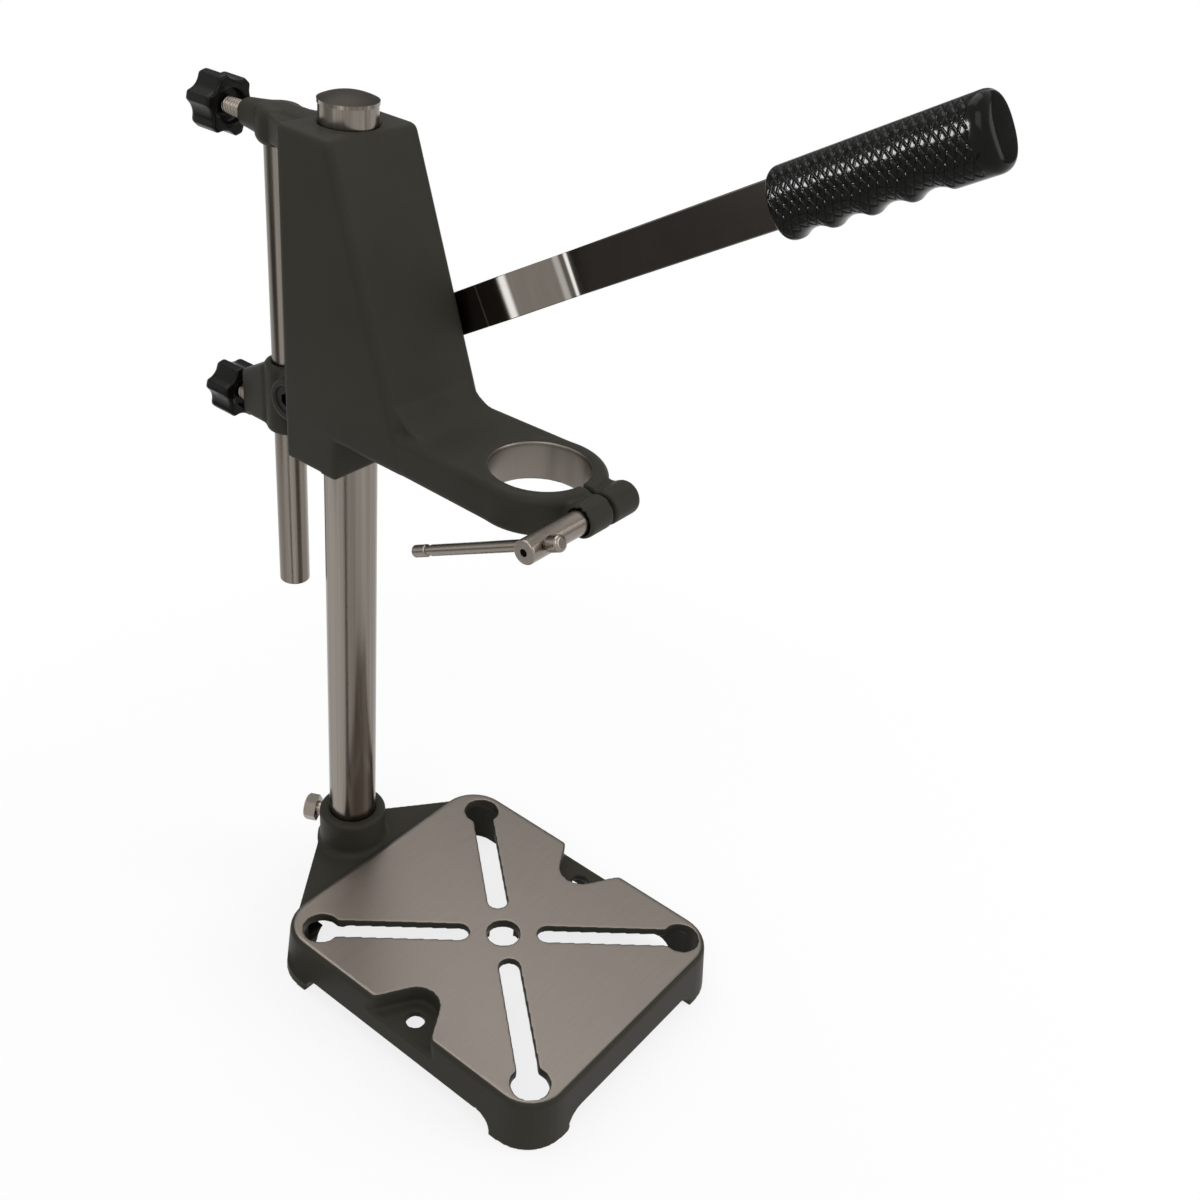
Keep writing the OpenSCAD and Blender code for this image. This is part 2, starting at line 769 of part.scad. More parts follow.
module drive_pin() {
    thread = pin_seat_x - cavity_w / 2 + pin_boss_l;
    shoulder = lever_x + bar_t + washer_t + 2 * seat_gap - pin_seat_x;
    color(zinc) translate([pin_seat_x, pin_y, pin_z]) along_x() {
        translate([0, 0, -thread]) cylinder(h = thread, d = pin_thread_d);
        cylinder(h = shoulder, d = pin_d);
        translate([0, 0, shoulder]) cylinder(h = pin_head_h, d = pin_head_d);
    }
}

module drive_washer() {
    color(zinc) translate([lever_x + bar_t + seat_gap, pin_y, pin_z]) along_x()
        washer_disc(drive_washer_d, pin_d + 2 * running_gap, washer_t);
}

// Feed bracket and what it carries

module lower_boss() {
    tip_z = lower_knob_z - lower_boss_under;
    root_z = sleeve_z + sleeve_edge_r;
    edge = lower_boss_edge_r;
    module end_frame(y, w, z, h) {
        for (x = [-1, 1], up = [edge, h - edge])
            translate([x * (w / 2 - edge), y, z + up]) sphere(edge, $fn = hull_fn);
    }
    hull() {
        end_frame(rod_y + rod_d / 2, lower_boss_root_w, root_z, lower_boss_root_h);
        end_frame(rod_y + lower_boss_l + edge, lower_boss_tip_w, tip_z, lower_boss_tip_h);
    }
}

module feed_bracket() {
    color(paint) difference() {
        union() {
            translate([0, reach, bracket_z]) round_post(bracket_ring_r, bracket_ring_h, socket_edge_r);
            translate([0, rod_y, sleeve_z]) round_post(sleeve_r, sleeve_h, sleeve_edge_r);
            rotate([90, 0, 90]) linear_extrude(bracket_web_w, center = true) polygon([
                [reach + column_d / 2, bracket_z], [reach + bracket_ring_r, bracket_z],
                [rod_y, lower_knob_z], [rod_y, sleeve_z + sleeve_h - sleeve_edge_r],
                [reach + column_d / 2, bracket_ring_top - socket_edge_r]
            ]);
            translate([fulcrum_near_x, fulcrum_y, fulcrum_z]) along_x()
                round_post(fulcrum_boss_d / 2, fulcrum_boss_l, sleeve_edge_r / 2);
            lower_boss();
        }
        translate([0, reach, bracket_z - cut]) cylinder(h = bracket_ring_h + 2 * cut, d = column_bore);
        translate([0, rod_y, sleeve_z - cut]) cylinder(h = sleeve_h + 2 * cut, d = rod_bore);
        translate([-bracket_slit / 2, reach, sleeve_z])
            cube([bracket_slit, rod_behind - sleeve_r, sleeve_h + bracket_ring_h]);
        translate([0, rod_y, lower_knob_z]) along_y()
            cylinder(h = 2 * lower_boss_l, d = stud_d + 2 * screw_gap);
        translate([fulcrum_near_x - cut, fulcrum_y, fulcrum_z]) along_x() {
            cylinder(h = fulcrum_boss_l + 2 * cut, d = fulcrum_d + 2 * screw_gap);
            cylinder(h = cut + cap_head_h + cap_head_room, d = cap_head_d + 2 * screw_gap);
        }
    }
}

// Shapes on the fulcrum's axis, with zero at the head's middle plane
module fulcrum_place() {
    translate([0, fulcrum_y, fulcrum_z]) along_x() children();
}

module fulcrum_bolt() {
    head_x = fulcrum_near_x + cap_head_room;
    end_x = bush_end_x + washer_t + hex_h + thread_proud;
    color(black_oxide) fulcrum_place() difference() {
        union() {
            translate([0, 0, head_x]) cylinder(h = cap_head_h, d = cap_head_d);
            translate([0, 0, head_x]) cylinder(h = end_x - head_x, d = fulcrum_d);
        }
        translate([0, 0, head_x - cut]) hex_bar(fulcrum_d * key_ratio, cap_head_h / 2 + cut);
    }
}

module fulcrum_bush() {
    color(zinc) fulcrum_place() translate([0, 0, fulcrum_far_x])
        washer_disc(sleeve_bush_d, fulcrum_d + 2 * running_gap, bush_end_x - fulcrum_far_x);
}

module fulcrum_spacer() {
    color(zinc) fulcrum_place() translate([0, 0, fulcrum_far_x])
        washer_disc(spacer_d, sleeve_bush_d + 2 * running_gap, lever_x - seat_gap - fulcrum_far_x);
}

module fulcrum_washer() {
    color(zinc) fulcrum_place() translate([0, 0, bush_end_x])
        washer_disc(spacer_d, fulcrum_d + 2 * screw_gap, washer_t);
}

module fulcrum_nut() {
    color(zinc) fulcrum_place() translate([0, 0, bush_end_x + washer_t]) difference() {
        hex_bar(hex_af, hex_h);
        translate([0, 0, -cut]) cylinder(h = hex_h + 2 * cut, d = fulcrum_d + 2 * running_gap);
    }
}

module stop_buffer() {
    flat_y = box_front + bearing_lip + seat_gap;
    color(black_rubber) difference() {
        translate([0, reach, cavity_floor])
            washer_disc(buffer_d, column_d + 2 * screw_gap, buffer_h);
        translate([-buffer_d / 2, flat_y - buffer_d, cavity_floor - cut])
            cube([buffer_d, buffer_d, buffer_h + 2 * cut]);
    }
}

module spring_seat() {
    color(zinc) translate([0, reach, bracket_ring_top])
        washer_disc(seat_d, column_d + 2 * screw_gap, spring_seat_t);
}

// Height of the spring's wire at a turn: a flat turn at each end, open turns between
end_rise = spring_wire + end_turn_gap;
open_rise = (spring_high - spring_low - spring_wire - 2 * end_rise) / spring_turns;
function wire_z(turn) =
    turn <= 1 ? turn * end_rise
    : turn <= 1 + spring_turns ? end_rise + (turn - 1) * open_rise
    : end_rise + spring_turns * open_rise + (turn - 1 - spring_turns) * end_rise;

wire_steps = (spring_turns + 2) * spring_rings;
wire_path = [for (i = [0 : wire_steps]) let (turn = i / spring_rings)
    [spring_d / 2 * cos(360 * turn), spring_d / 2 * sin(360 * turn),
     spring_low + spring_wire / 2 + wire_z(turn)]];
wire_gaps = [for (i = [0 : wire_steps - spring_rings], j = [spring_rings - 1 : spring_rings + 1])
    if (i + j <= wire_steps) norm(wire_path[i + j] - wire_path[i]) - spring_wire];
echo(spring_least_gap = min(wire_gaps));
echo(spring_room_at_full_feed = spring_high - spring_low - feed_travel - (spring_turns + 2) * spring_wire);

module return_spring() {
    points = [for (i = [0 : wire_steps], k = [0 : spring_sides - 1])
        let (around = 360 * i / spring_rings, a = 360 * k / spring_sides, r = spring_wire / 2)
        wire_path[i] + [r * cos(a) * cos(around), r * cos(a) * sin(around), r * sin(a)]];
    walls = [for (i = [0 : wire_steps - 1], k = [0 : spring_sides - 1])
        let (a = i * spring_sides + k, b = i * spring_sides + (k + 1) % spring_sides)
        each [[a, b, a + spring_sides], [b, b + spring_sides, a + spring_sides]]];
    last = wire_steps * spring_sides;
    ends = [for (k = [1 : spring_sides - 2])
        each [[0, k + 1, k], [last, last + k, last + k + 1]]];
    color(steel) translate([0, reach, 0]) polyhedron(points, concat(walls, ends));
}

module guide_rod() {
    color(steel) translate([0, rod_y, rod_top - rod_l]) round_post(rod_d / 2, rod_l, rod_edge_r);
}

// Star knobs and their studs, made along +Z from the boss they screw into

module star_knob(bare) {
    scallop_r = knob_d * scallop_share;
    scallop_at = knob_d / 2 + scallop_r - knob_d * scallop_deep_share;
    translate([0, 0, bare]) difference() {
        round_post(knob_d / 2, knob_t, knob_dome);
        for (i = [0 : knob_lobes - 1])
            rotate(360 / knob_lobes * (i + 0.5)) translate([scallop_at, 0, -cut])
                cylinder(h = knob_t + 2 * cut, r = scallop_r);
        translate([0, 0, -cut]) cylinder(h = knob_hollow_l + cut, d = knob_hollow_d);
        translate([0, 0, -cut]) cylinder(h = stud_in_knob + cut, d = stud_d + 2 * running_gap);
    }
}

module knob_stud(boss_l, bare) {
    reach_in = boss_l - rod_d / 2 - seat_gap;
    translate([0, 0, -reach_in]) cylinder(h = reach_in + bare + stud_in_knob - seat_gap, d = stud_d);
}

module upper_knob_place() {
    translate([0, rod_y + upper_boss_l, upper_knob_z]) along_y() children();
}

module lower_knob_place() {
    translate([0, rod_y + lower_boss_l + 2 * lower_boss_edge_r, lower_knob_z]) along_y() children();
}

module upper_knob() { color(black_plastic) upper_knob_place() rotate(upper_knob_turn) star_knob(upper_bare); }
module upper_stud() { color(zinc) upper_knob_place() knob_stud(upper_boss_l, upper_bare); }
module lower_knob() { color(black_plastic) lower_knob_place() rotate(lower_knob_turn) star_knob(lower_bare); }
module lower_stud() {
    color(zinc) lower_knob_place() knob_stud(lower_boss_l + 2 * lower_boss_edge_r, lower_bare);
}

// Lever: drawn level, with zero at the fulcrum and the bar running to -Y, then tilted to its slope

module lever_place() {
    translate([0, fulcrum_y, fulcrum_z]) rotate([-lever_slope, 0, 0]) children();
}

// Three points that round a bend between two straights
function bent(from, at, to) =
    let (a = at + bend_run * (from - at) / norm(from - at), c = at + bend_run * (to - at) / norm(to - at))
    [a, (a + 2 * at + c) / 4, c];

// Plan of the flat bar with its sideways step
module bar_plan() {
    path = [
        [lever_x, bar_tail], [lever_x, -jog_from],
        [lever_x + jog_out, -jog_from - jog_l], [lever_x + jog_out, -grip_from - bar_in_grip]
    ];
    near = concat([path[0]], bent(path[0], path[1], path[2]), bent(path[1], path[2], path[3]), [path[3]]);
    last = len(near) - 1;
    polygon(concat(near, [for (i = [last : -1 : 0]) near[i] + [bar_t, 0]]));
}

module lever_bar() {
    half = bar_w / 2;
    slot_half = pin_d / 2 + slot_play;
    color(steel) lever_place() difference() {
        union() {
            translate([0, 0, bar_line - half]) linear_extrude(bar_w) bar_plan();
            translate([lever_x, 0, 0]) along_x() cylinder(h = bar_t, d = eye_d);
            translate([lever_x, 0, 0]) rotate([90, 0, 90]) linear_extrude(bar_t)
                polygon([
                    [bar_tail, 0], [bar_tail, bar_line], [-2 * eye_d, bar_line - half], [0, -eye_d / 2]
                ]);
        }
        translate([lever_x - cut, 0, 0]) along_x()
            cylinder(h = bar_t + 2 * cut, d = sleeve_bush_d + 2 * running_gap);
        translate([lever_x - cut, -slot_high, bar_line - slot_half])
            cube([bar_t + 2 * cut, slot_high - slot_low, 2 * slot_half]);
        for (u = [slot_low, slot_high])
            translate([lever_x - cut, -u, bar_line]) along_x() cylinder(h = bar_t + 2 * cut, r = slot_half);
    }
}

// Side view of the grip: round corners, and finger hollows below
module grip_side() {
    difference() {
        translate([-grip_l / 2, 0]) round_plan(grip_l, grip_h + overlap, grip_corner_r);
        for (i = [0 : finger_count - 1])
            translate([-finger_first - i * finger_pitch, finger_deep - grip_h / 2 - finger_r])
                circle(finger_r);
    }
}

module lever_grip() {
    middle_x = lever_x + jog_out + bar_t / 2;
    color(black_rubber) lever_place() translate([middle_x, -grip_from, bar_line - grip_drop]) difference() {
        intersection() {
            translate([0, cut, 0]) rotate([90, 0, 0]) linear_extrude(grip_l + 2 * cut)
                round_plan(grip_w, grip_h, grip_side_r);
            rotate([90, 0, 90]) linear_extrude(2 * grip_w, center = true) grip_side();
            translate([0, -grip_l / 2, 0]) linear_extrude(2 * grip_h, center = true)
                round_plan(grip_w + overlap, grip_l + overlap, grip_end_r);
        }
        translate([-bar_t / 2 - running_gap, -bar_in_grip - seat_gap, grip_drop - bar_w / 2 - running_gap])
            cube([bar_t + 2 * running_gap, bar_in_grip + seat_gap + cut, bar_w + 2 * running_gap]);
    }
}

// Clamp screw and its tommy bar

module tommy_place() {
    translate([barrel_out_x + tommy_inset, -lug_ahead, lug_z]) rotate([-90 - tommy_slope, 0, 0]) children();
}

module clamp_screw() {
    color(zinc) difference() {
        translate([0, -lug_ahead, lug_z]) along_x() {
            translate([0, 0, barrel_out_x])
                round_post(barrel_d / 2, barrel_in_x - barrel_out_x, barrel_chamfer);
            translate([0, 0, barrel_in_x]) cylinder(h = far_lug_x - barrel_in_x - clamp_short, d = clamp_d);
        }
        translate([barrel_out_x - cut, -lug_ahead, lug_z]) along_x()
            cylinder(h = barrel_pip_l + cut, d = barrel_pip_d);
        tommy_place() cylinder(h = 2 * barrel_d, d = tommy_d + 2 * running_gap, center = true);
    }
}

module tommy_bar() {
    start = -barrel_d / 2 - seat_gap;
    far_end = start - tommy_stop_l + tommy_l;
    neck_end = far_end - tommy_head_l;
    color(zinc) tommy_place() {
        translate([0, 0, start - tommy_stop_l]) round_post(tommy_stop_d / 2, tommy_stop_l, tommy_stop_edge_r);
        translate([0, 0, start]) cylinder(h = neck_end - tommy_neck_l - start, d = tommy_d);
        translate([0, 0, neck_end - tommy_neck_l]) cylinder(h = tommy_neck_l, d = tommy_neck_d);
        translate([0, 0, neck_end]) round_post(tommy_head_d / 2, tommy_head_l, tommy_head_edge_r);
    }
}

base_casting();
column();
column_cap();
socket_bolt();
feed_bracket();
fulcrum_bolt();
fulcrum_bush();
fulcrum_spacer();
fulcrum_washer();
fulcrum_nut();
stop_buffer();
spring_seat();
return_spring();
head_casting();
drive_pin();
drive_washer();
guide_rod();
upper_knob();
upper_stud();
lower_knob();
lower_stud();
lever_bar();
lever_grip();
clamp_screw();
tommy_bar();
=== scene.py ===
"""Looks of the bench drill stand: enamelled castings, bright steel, a moulded grip and knobs.

Metres, in the frame's own axes: +Z up, front -Y, lever side +X, zero at the table's middle hole.
"""

import json
import math

import bmesh
import bpy
import numpy as np
from mathutils import Matrix, Vector


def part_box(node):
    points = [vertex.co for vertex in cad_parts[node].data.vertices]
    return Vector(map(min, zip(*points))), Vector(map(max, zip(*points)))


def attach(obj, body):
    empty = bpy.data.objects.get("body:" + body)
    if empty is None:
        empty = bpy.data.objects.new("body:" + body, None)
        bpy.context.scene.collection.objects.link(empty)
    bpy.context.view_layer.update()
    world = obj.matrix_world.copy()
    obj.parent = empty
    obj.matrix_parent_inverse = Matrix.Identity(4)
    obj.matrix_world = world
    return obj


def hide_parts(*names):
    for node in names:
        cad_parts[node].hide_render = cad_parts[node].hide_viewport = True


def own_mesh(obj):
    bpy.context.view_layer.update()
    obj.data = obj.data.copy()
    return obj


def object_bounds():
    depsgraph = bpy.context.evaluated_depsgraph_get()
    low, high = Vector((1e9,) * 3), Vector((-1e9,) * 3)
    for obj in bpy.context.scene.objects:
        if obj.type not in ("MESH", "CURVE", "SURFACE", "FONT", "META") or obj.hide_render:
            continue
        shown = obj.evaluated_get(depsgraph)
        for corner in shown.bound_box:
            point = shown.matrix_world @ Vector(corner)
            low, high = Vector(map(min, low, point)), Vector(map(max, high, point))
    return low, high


MM = 0.001
TURN = 2.0 * math.pi

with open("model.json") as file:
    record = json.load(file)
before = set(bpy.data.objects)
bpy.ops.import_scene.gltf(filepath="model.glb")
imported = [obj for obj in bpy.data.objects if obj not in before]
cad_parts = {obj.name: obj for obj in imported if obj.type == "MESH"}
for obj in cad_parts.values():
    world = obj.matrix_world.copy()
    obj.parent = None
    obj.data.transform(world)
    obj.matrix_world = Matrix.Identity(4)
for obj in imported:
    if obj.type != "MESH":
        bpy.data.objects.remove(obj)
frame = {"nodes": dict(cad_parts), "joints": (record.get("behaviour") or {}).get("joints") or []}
cad_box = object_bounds()
nodes = frame["nodes"]
joints = {joint["name"]: joint for joint in frame["joints"]}

# Places and sizes on the stand, as the solids have them
TABLE_REAR = 89.0 * MM
COLLAR_R = 21.5 * MM
COLLAR_TOP = 277.5 * MM
COLLAR_H = 19.0 * MM
COLUMN_Y = 112.75 * MM
LEVER_SLOPE = math.radians(31.0)
FULCRUM = np.array(joints["lever_swing"]["pos_m"])

# Soft edges of the castings and the lever
CASTING_VOXEL = 0.8 * MM
LEVER_EASE = 0.5 * MM
LEVER_BEND = 2.0 * MM


# Meshes


def add_mesh(name, verts, faces, smooth=True):
    mesh = bpy.data.meshes.new(name)
    mesh.from_pydata([tuple(v) for v in verts], [], faces)
    mesh.validate()
    mesh.update()
    for polygon in mesh.polygons:
        polygon.use_smooth = smooth
    piece = bpy.data.objects.new(name, mesh)
    bpy.context.scene.collection.objects.link(piece)
    return piece


def bake_modifiers(piece):
    """Turns a piece and its modifiers into one plain mesh."""
    bpy.context.view_layer.update()
    shaped = piece.evaluated_get(bpy.context.evaluated_depsgraph_get())
    mesh = bpy.data.meshes.new_from_object(shaped)
    piece.modifiers.clear()
    piece.data = mesh
    return piece


def tube_faces(rings, sides):
    """Faces of a tube of rings, each with the same number of points."""
    faces = []
    for i in range(rings - 1):
        for k in range(sides):
            here, beside = i * sides + k, i * sides + (k + 1) % sides
            faces.append((here, beside, beside + sides, here + sides))
    return faces


def loft(name, rings):
    """A closed skin over rings of points, with a fan over each end."""
    rings = np.asarray(rings, float)
    count, sides = rings.shape[:2]
    first, last = count * sides, count * sides + 1
    end = (count - 1) * sides
    faces = tube_faces(count, sides)
    faces += [((k + 1) % sides, k, first) for k in range(sides)]
    faces += [(end + k, end + (k + 1) % sides, last) for k in range(sides)]
    piece = add_mesh(name, [*rings.reshape(-1, 3), rings[0].mean(0), rings[-1].mean(0)], faces)
    shape = bmesh.new()
    shape.from_mesh(piece.data)
    bmesh.ops.recalc_face_normals(shape, faces=shape.faces)
    shape.to_mesh(piece.data)
    shape.free()
    return piece


def copy_of(node, name):
    piece = bpy.data.objects.new(name, nodes[node].data.copy())
    bpy.context.scene.collection.objects.link(piece)
    return piece


def soft_casting(node, name, voxel, rounds):
    """A CAD casting with its edges softened as sand casting and paint leave them."""
    piece = copy_of(node, name)
    remesh = piece.modifiers.new("skin", "REMESH")
    remesh.mode = "VOXEL"
    remesh.voxel_size = voxel
    soften = piece.modifiers.new("soft edges", "SMOOTH")
    soften.factor = 0.5
    soften.iterations = rounds
    bake_modifiers(piece)
    for polygon in piece.data.polygons:
        polygon.use_smooth = True
    return piece


def eased_plate(node, name, ease, bend):
    """A CAD plate with its sharp edges eased, and its bends rounded."""
    piece = copy_of(node, name)
    shape = bmesh.new()
    shape.from_mesh(piece.data)
    bmesh.ops.remove_doubles(shape, verts=shape.verts, dist=0.005 * MM)
    bmesh.ops.dissolve_limit(
        shape, angle_limit=math.radians(1.0), verts=shape.verts, edges=shape.edges
    )
    slight, sharp = math.radians(15.0), math.radians(38.0)
    bends = [
        edge
        for edge in shape.edges
        if len(edge.link_faces) == 2 and slight < edge.calc_face_angle() < sharp
    ]
    bmesh.ops.bevel(
        shape, geom=bends, offset=bend, segments=6, profile=0.5, affect="EDGES", clamp_overlap=True
    )
    for face in shape.faces:
        face.smooth = True
    shape.to_mesh(piece.data)
    shape.free()
    bevel = piece.modifiers.new("eased edges", "BEVEL")
    bevel.width = ease
    bevel.segments = 3
    bevel.limit_method = "ANGLE"
    bevel.angle_limit = math.radians(40.0)
    piece.modifiers.new("flat faces", "WEIGHTED_NORMAL")
    return bake_modifiers(piece)


def soft_step(value, low, high):
    share = np.clip((value - low) / (high - low), 0.0, 1.0)
    return share * share * (3.0 - 2.0 * share)


def end_inset(place_along, length, near_r, far_r):
    """How far a round end draws a section in, at a place along the length."""
    inset = np.zeros_like(place_along)
    for gap, r in ((place_along, near_r), (length - place_along, far_r)):
        short = np.clip(r - gap, 0.0, r)
        inset = np.maximum(inset, r - np.sqrt(r * r - short * short))
    return inset


def signed_power(value, power):
    return np.sign(value) * np.abs(value) ** power


def on_lever(points):
    """Puts points in place: X across, Y along the lever from its fulcrum, Z up from it."""
    x, along, up = points[..., 0], points[..., 1], points[..., 2]
    cos_slope, sin_slope = math.cos(LEVER_SLOPE), math.sin(LEVER_SLOPE)
    y = -along * cos_slope + up * sin_slope
    z = along * sin_slope + up * cos_slope
    return np.stack((x, y, z), -1) + FULCRUM


# The grip on the lever. A pair of end radii is the near end's, then the far end's
GRIP_AT = np.array((45.0, 248.5, 9.8)) * MM
GRIP_SIZE = np.array((24.5, 87.5, 27.8)) * MM
GRIP_SIDE_R = (2.2 * MM, 6.0 * MM)
GRIP_RISE_R = (2.6 * MM, 4.5 * MM)
GRIP_ROUNDNESS = 2.0 / 2.3
GRIP_STEP = 0.32 * MM
GRIP_POINTS = 320
FINGER_AT = np.array((11.2, 27.2, 43.3, 59.4)) * MM
FINGER_R = 13.0 * MM
FINGER_DEEP = 2.4 * MM
FINGER_BLUR = np.array((0.25, 0.5, 0.25))

# The grip's diamonds. Where they fade in, each pair goes from bare to full
DIAMOND_L = 3.6 * MM
DIAMOND_H = 7.2 * MM
DIAMOND_CROWN = 0.06 * MM
GROOVE_DEEP = 0.6 * MM
GROOVE_WALL = (0.02, 0.30)
FADE_NEAR = (1.2 * MM, 2.2 * MM)
FADE_FAR = (6.5 * MM, 7.5 * MM)
FADE_TOP = (4.5 * MM, 6.0 * MM)
FADE_LOW = (36.5 * MM, 34.5 * MM)


def grip_stations(length):
    """Places along the grip, close together at its round ends."""
    turn = np.linspace(0.05, 1.0, 14) * math.pi / 2
    end_r = (max(pair) for pair in zip(GRIP_SIDE_R, GRIP_RISE_R))
    near, far = (r * (1.0 - np.cos(turn)) for r in end_r)
    straight = np.arange(near[-1], length - far[-1], GRIP_STEP)[1:]
    return np.concatenate((near, straight, length - far[::-1]))


def finger_hollows(along):
    """Depth of the finger hollows at places along the grip."""
    hollow = np.zeros_like(along)
    for middle in FINGER_AT:
        off = np.clip(np.abs(along - middle), 0.0, FINGER_R)
        hollow = np.maximum(hollow, np.sqrt(FINGER_R**2 - off**2) - FINGER_R + FINGER_DEEP)
    return np.convolve(np.pad(hollow, len(FINGER_BLUR) // 2, "edge"), FINGER_BLUR, "valid")


def knurl_depth(run, down, length):
    """How far the knurl sinks the grip's skin, along the grip and down from its top."""
    lines = (run / DIAMOND_L + down / DIAMOND_H, run / DIAMOND_L - down / DIAMOND_H)
    from_groove = np.minimum(*(np.abs(2.0 * (line - np.round(line))) for line in lines))
    shown = soft_step(run, *FADE_NEAR) * soft_step(length - run, *FADE_FAR)
    shown = shown * soft_step(down, *FADE_TOP) * soft_step(down, *FADE_LOW)
    groove = GROOVE_DEEP * (1.0 - soft_step(from_groove, *GROOVE_WALL))
    return shown * (groove - DIAMOND_CROWN * from_groove)


def grip_moulding():
    """The grip: a rounded section, finger hollows below and raised diamonds on both sides."""
    width, length, height = GRIP_SIZE
    along = grip_stations(length)
    rise = end_inset(along, length, *GRIP_RISE_R)
    half_w = (width / 2 - end_inset(along, length, *GRIP_SIDE_R))[:, None]
    top = (height / 2 - rise)[:, None]
    low = (-height / 2 + rise + finger_hollows(along))[:, None]
    around = np.linspace(0.0, TURN, GRIP_POINTS, endpoint=False)[None, :] + math.pi / 2
    across, upward = np.cos(around), np.sin(around)
    cut_x, cut_z = (signed_power(part, GRIP_ROUNDNESS) for part in (across, upward))
    lean_x, lean_z = (signed_power(part, 2.0 - GRIP_ROUNDNESS) for part in (across, upward))
    lean = np.sqrt(lean_x**2 + lean_z**2)
    outline = np.stack((width / 2 * cut_x[0], height / 2 * cut_z[0]), -1)
    steps = np.linalg.norm(np.diff(outline, axis=0, append=outline[:1]), axis=1)
    down = np.concatenate(((0.0,), np.cumsum(steps)[:-1]))
    down = np.minimum(down, steps.sum() - down)[None, :]
    run = along[:, None]
    sunk = knurl_depth(run, down, length)
    x = half_w * cut_x - sunk * lean_x / lean
    z = (top + low) / 2 + (top - low) / 2 * cut_z - sunk * lean_z / lean
    points = np.stack((x, np.broadcast_to(run, x.shape), z), -1) + GRIP_AT
    return loft("grip_moulding", on_lever(points))


# A star knob: each row of a profile is a radius, its share of the star, and a distance in from
# the face that the profile starts at
KNOB_R = 13.5 * MM
KNOB_TURN = math.radians(15.0)
KNOB_POINTS = 180
HALF_LOBE = math.pi / 6
SCALLOP_R = 8.9 * MM
SCALLOP_DEEP = 2.43 * MM
SCALLOP_SOFT = 0.9 * MM
KNOB_INNER_R = 1.4 * MM
KNOB_OUTER_R = 3.2 * MM
KNOB_RIM_IN = 0.5 * MM
KNOB_SIDE_IN = (3.0 * MM, 5.0 * MM)
KNOB_HOLLOW = (
    (3.9 * MM, 0.0, 3.0 * MM),
    (6.9 * MM, 0.0, 3.0 * MM),
    (7.4 * MM, 0.0, 2.6 * MM),
    (7.5 * MM, 0.0, 0.5 * MM),
    (7.9 * MM, 0.0, 0.05 * MM),
    (9.0 * MM, 0.5, 0.0),
)
KNOB_PLUG = (
    (8.2 * MM, 0.4, 0.15 * MM),
    (6.3 * MM, 0.0, 0.1 * MM),
    (6.1 * MM, 0.0, 0.6 * MM),
    (5.8 * MM, 0.0, 0.6 * MM),
    (5.5 * MM, 0.0, 0.15 * MM),
    (1.0 * MM, 0.0, 0.0),
)


def knob_edge(around):
    """Radius of a knob's edge: six lobes with broad round hollows between them."""
    out = KNOB_R + SCALLOP_R - SCALLOP_DEEP
    off = (around + HALF_LOBE) % (2.0 * HALF_LOBE) - HALF_LOBE
    inside = np.maximum(SCALLOP_R**2 - (out * np.sin(off)) ** 2, 0.0)
    hollow = np.where(inside > 0.0, out * np.cos(off) - np.sqrt(inside), 2.0 * KNOB_R)
    near = np.maximum(SCALLOP_SOFT - np.abs(KNOB_R - hollow), 0.0) / SCALLOP_SOFT
    return np.minimum(KNOB_R, hollow) - near * near * SCALLOP_SOFT / 4


def ring_round_y(middle, r, around, y):
    """Points round an axis along Y."""
    x, z = middle.x + r * np.cos(around), middle.z - r * np.sin(around)
    return np.stack((x, np.full_like(r, y), z), -1)


def knob_moulding(node, name):
    """A star knob on its stud's axis, hollow round the stud, with a plug in its outer face."""
    low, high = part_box(node)
    middle = (low + high) / 2
    thick = high.y - low.y
    around = np.linspace(0.0, TURN, KNOB_POINTS, endpoint=False)
    star = knob_edge(around + KNOB_TURN) - KNOB_R
    inner_r, outer_r, rim = KNOB_INNER_R, KNOB_OUTER_R, thick - KNOB_RIM_IN
    side_from, side_to = KNOB_SIDE_IN[0], thick - KNOB_SIDE_IN[1]
    quarter = np.linspace(0.0, math.pi / 2, 8)
    profile = list(KNOB_HOLLOW)
    for t in quarter:
        r = KNOB_R - inner_r + inner_r * math.sin(t)
        profile.append((r, 1.0, inner_r * (1.0 - math.cos(t))))
    profile += [(KNOB_R, 1.0, y) for y in np.linspace(side_from, side_to, 5)]
    for t in quarter:
        r = KNOB_R - outer_r * (1.0 - math.cos(t))
        profile.append((r, 1.0, rim - outer_r * (1.0 - math.sin(t))))
    profile += [(r, share, thick - below) for r, share, below in KNOB_PLUG]
    rings = [
        ring_round_y(middle, r + share * star, around, low.y + out) for r, share, out in profile
    ]
    return loft(name, rings)


STUD_R = 4.0 * MM
STUD_POINTS = 32
THREAD_PITCH = 1.75 * MM
THREAD_DEEP = 0.85 * MM
THREAD_CREST = 0.12
THREAD_FLANK = 0.76
RINGS_A_PITCH = 8


def threaded_stud(node, name):
    """A stud with its screw thread cut along it."""
    low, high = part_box(node)
    middle = (low + high) / 2
    around = np.linspace(0.0, TURN, STUD_POINTS, endpoint=False)
    rings = []
    for y in np.arange(low.y, high.y, THREAD_PITCH / RINGS_A_PITCH):
        across = np.abs(2.0 * ((y / THREAD_PITCH - around / TURN) % 1.0) - 1.0)
        down = np.clip((across - THREAD_CREST) / THREAD_FLANK, 0.0, 1.0)
        rings.append(ring_round_y(middle, STUD_R - THREAD_DEEP * down, around, y))
    return loft(name, rings)


SPRING_R = 14.5 * MM
WIRE_R = 1.0 * MM
SPRING_TURNS = 11
SPRING_END_GAP = 0.6 * MM
POINTS_A_TURN = 40
WIRE_POINTS = 12


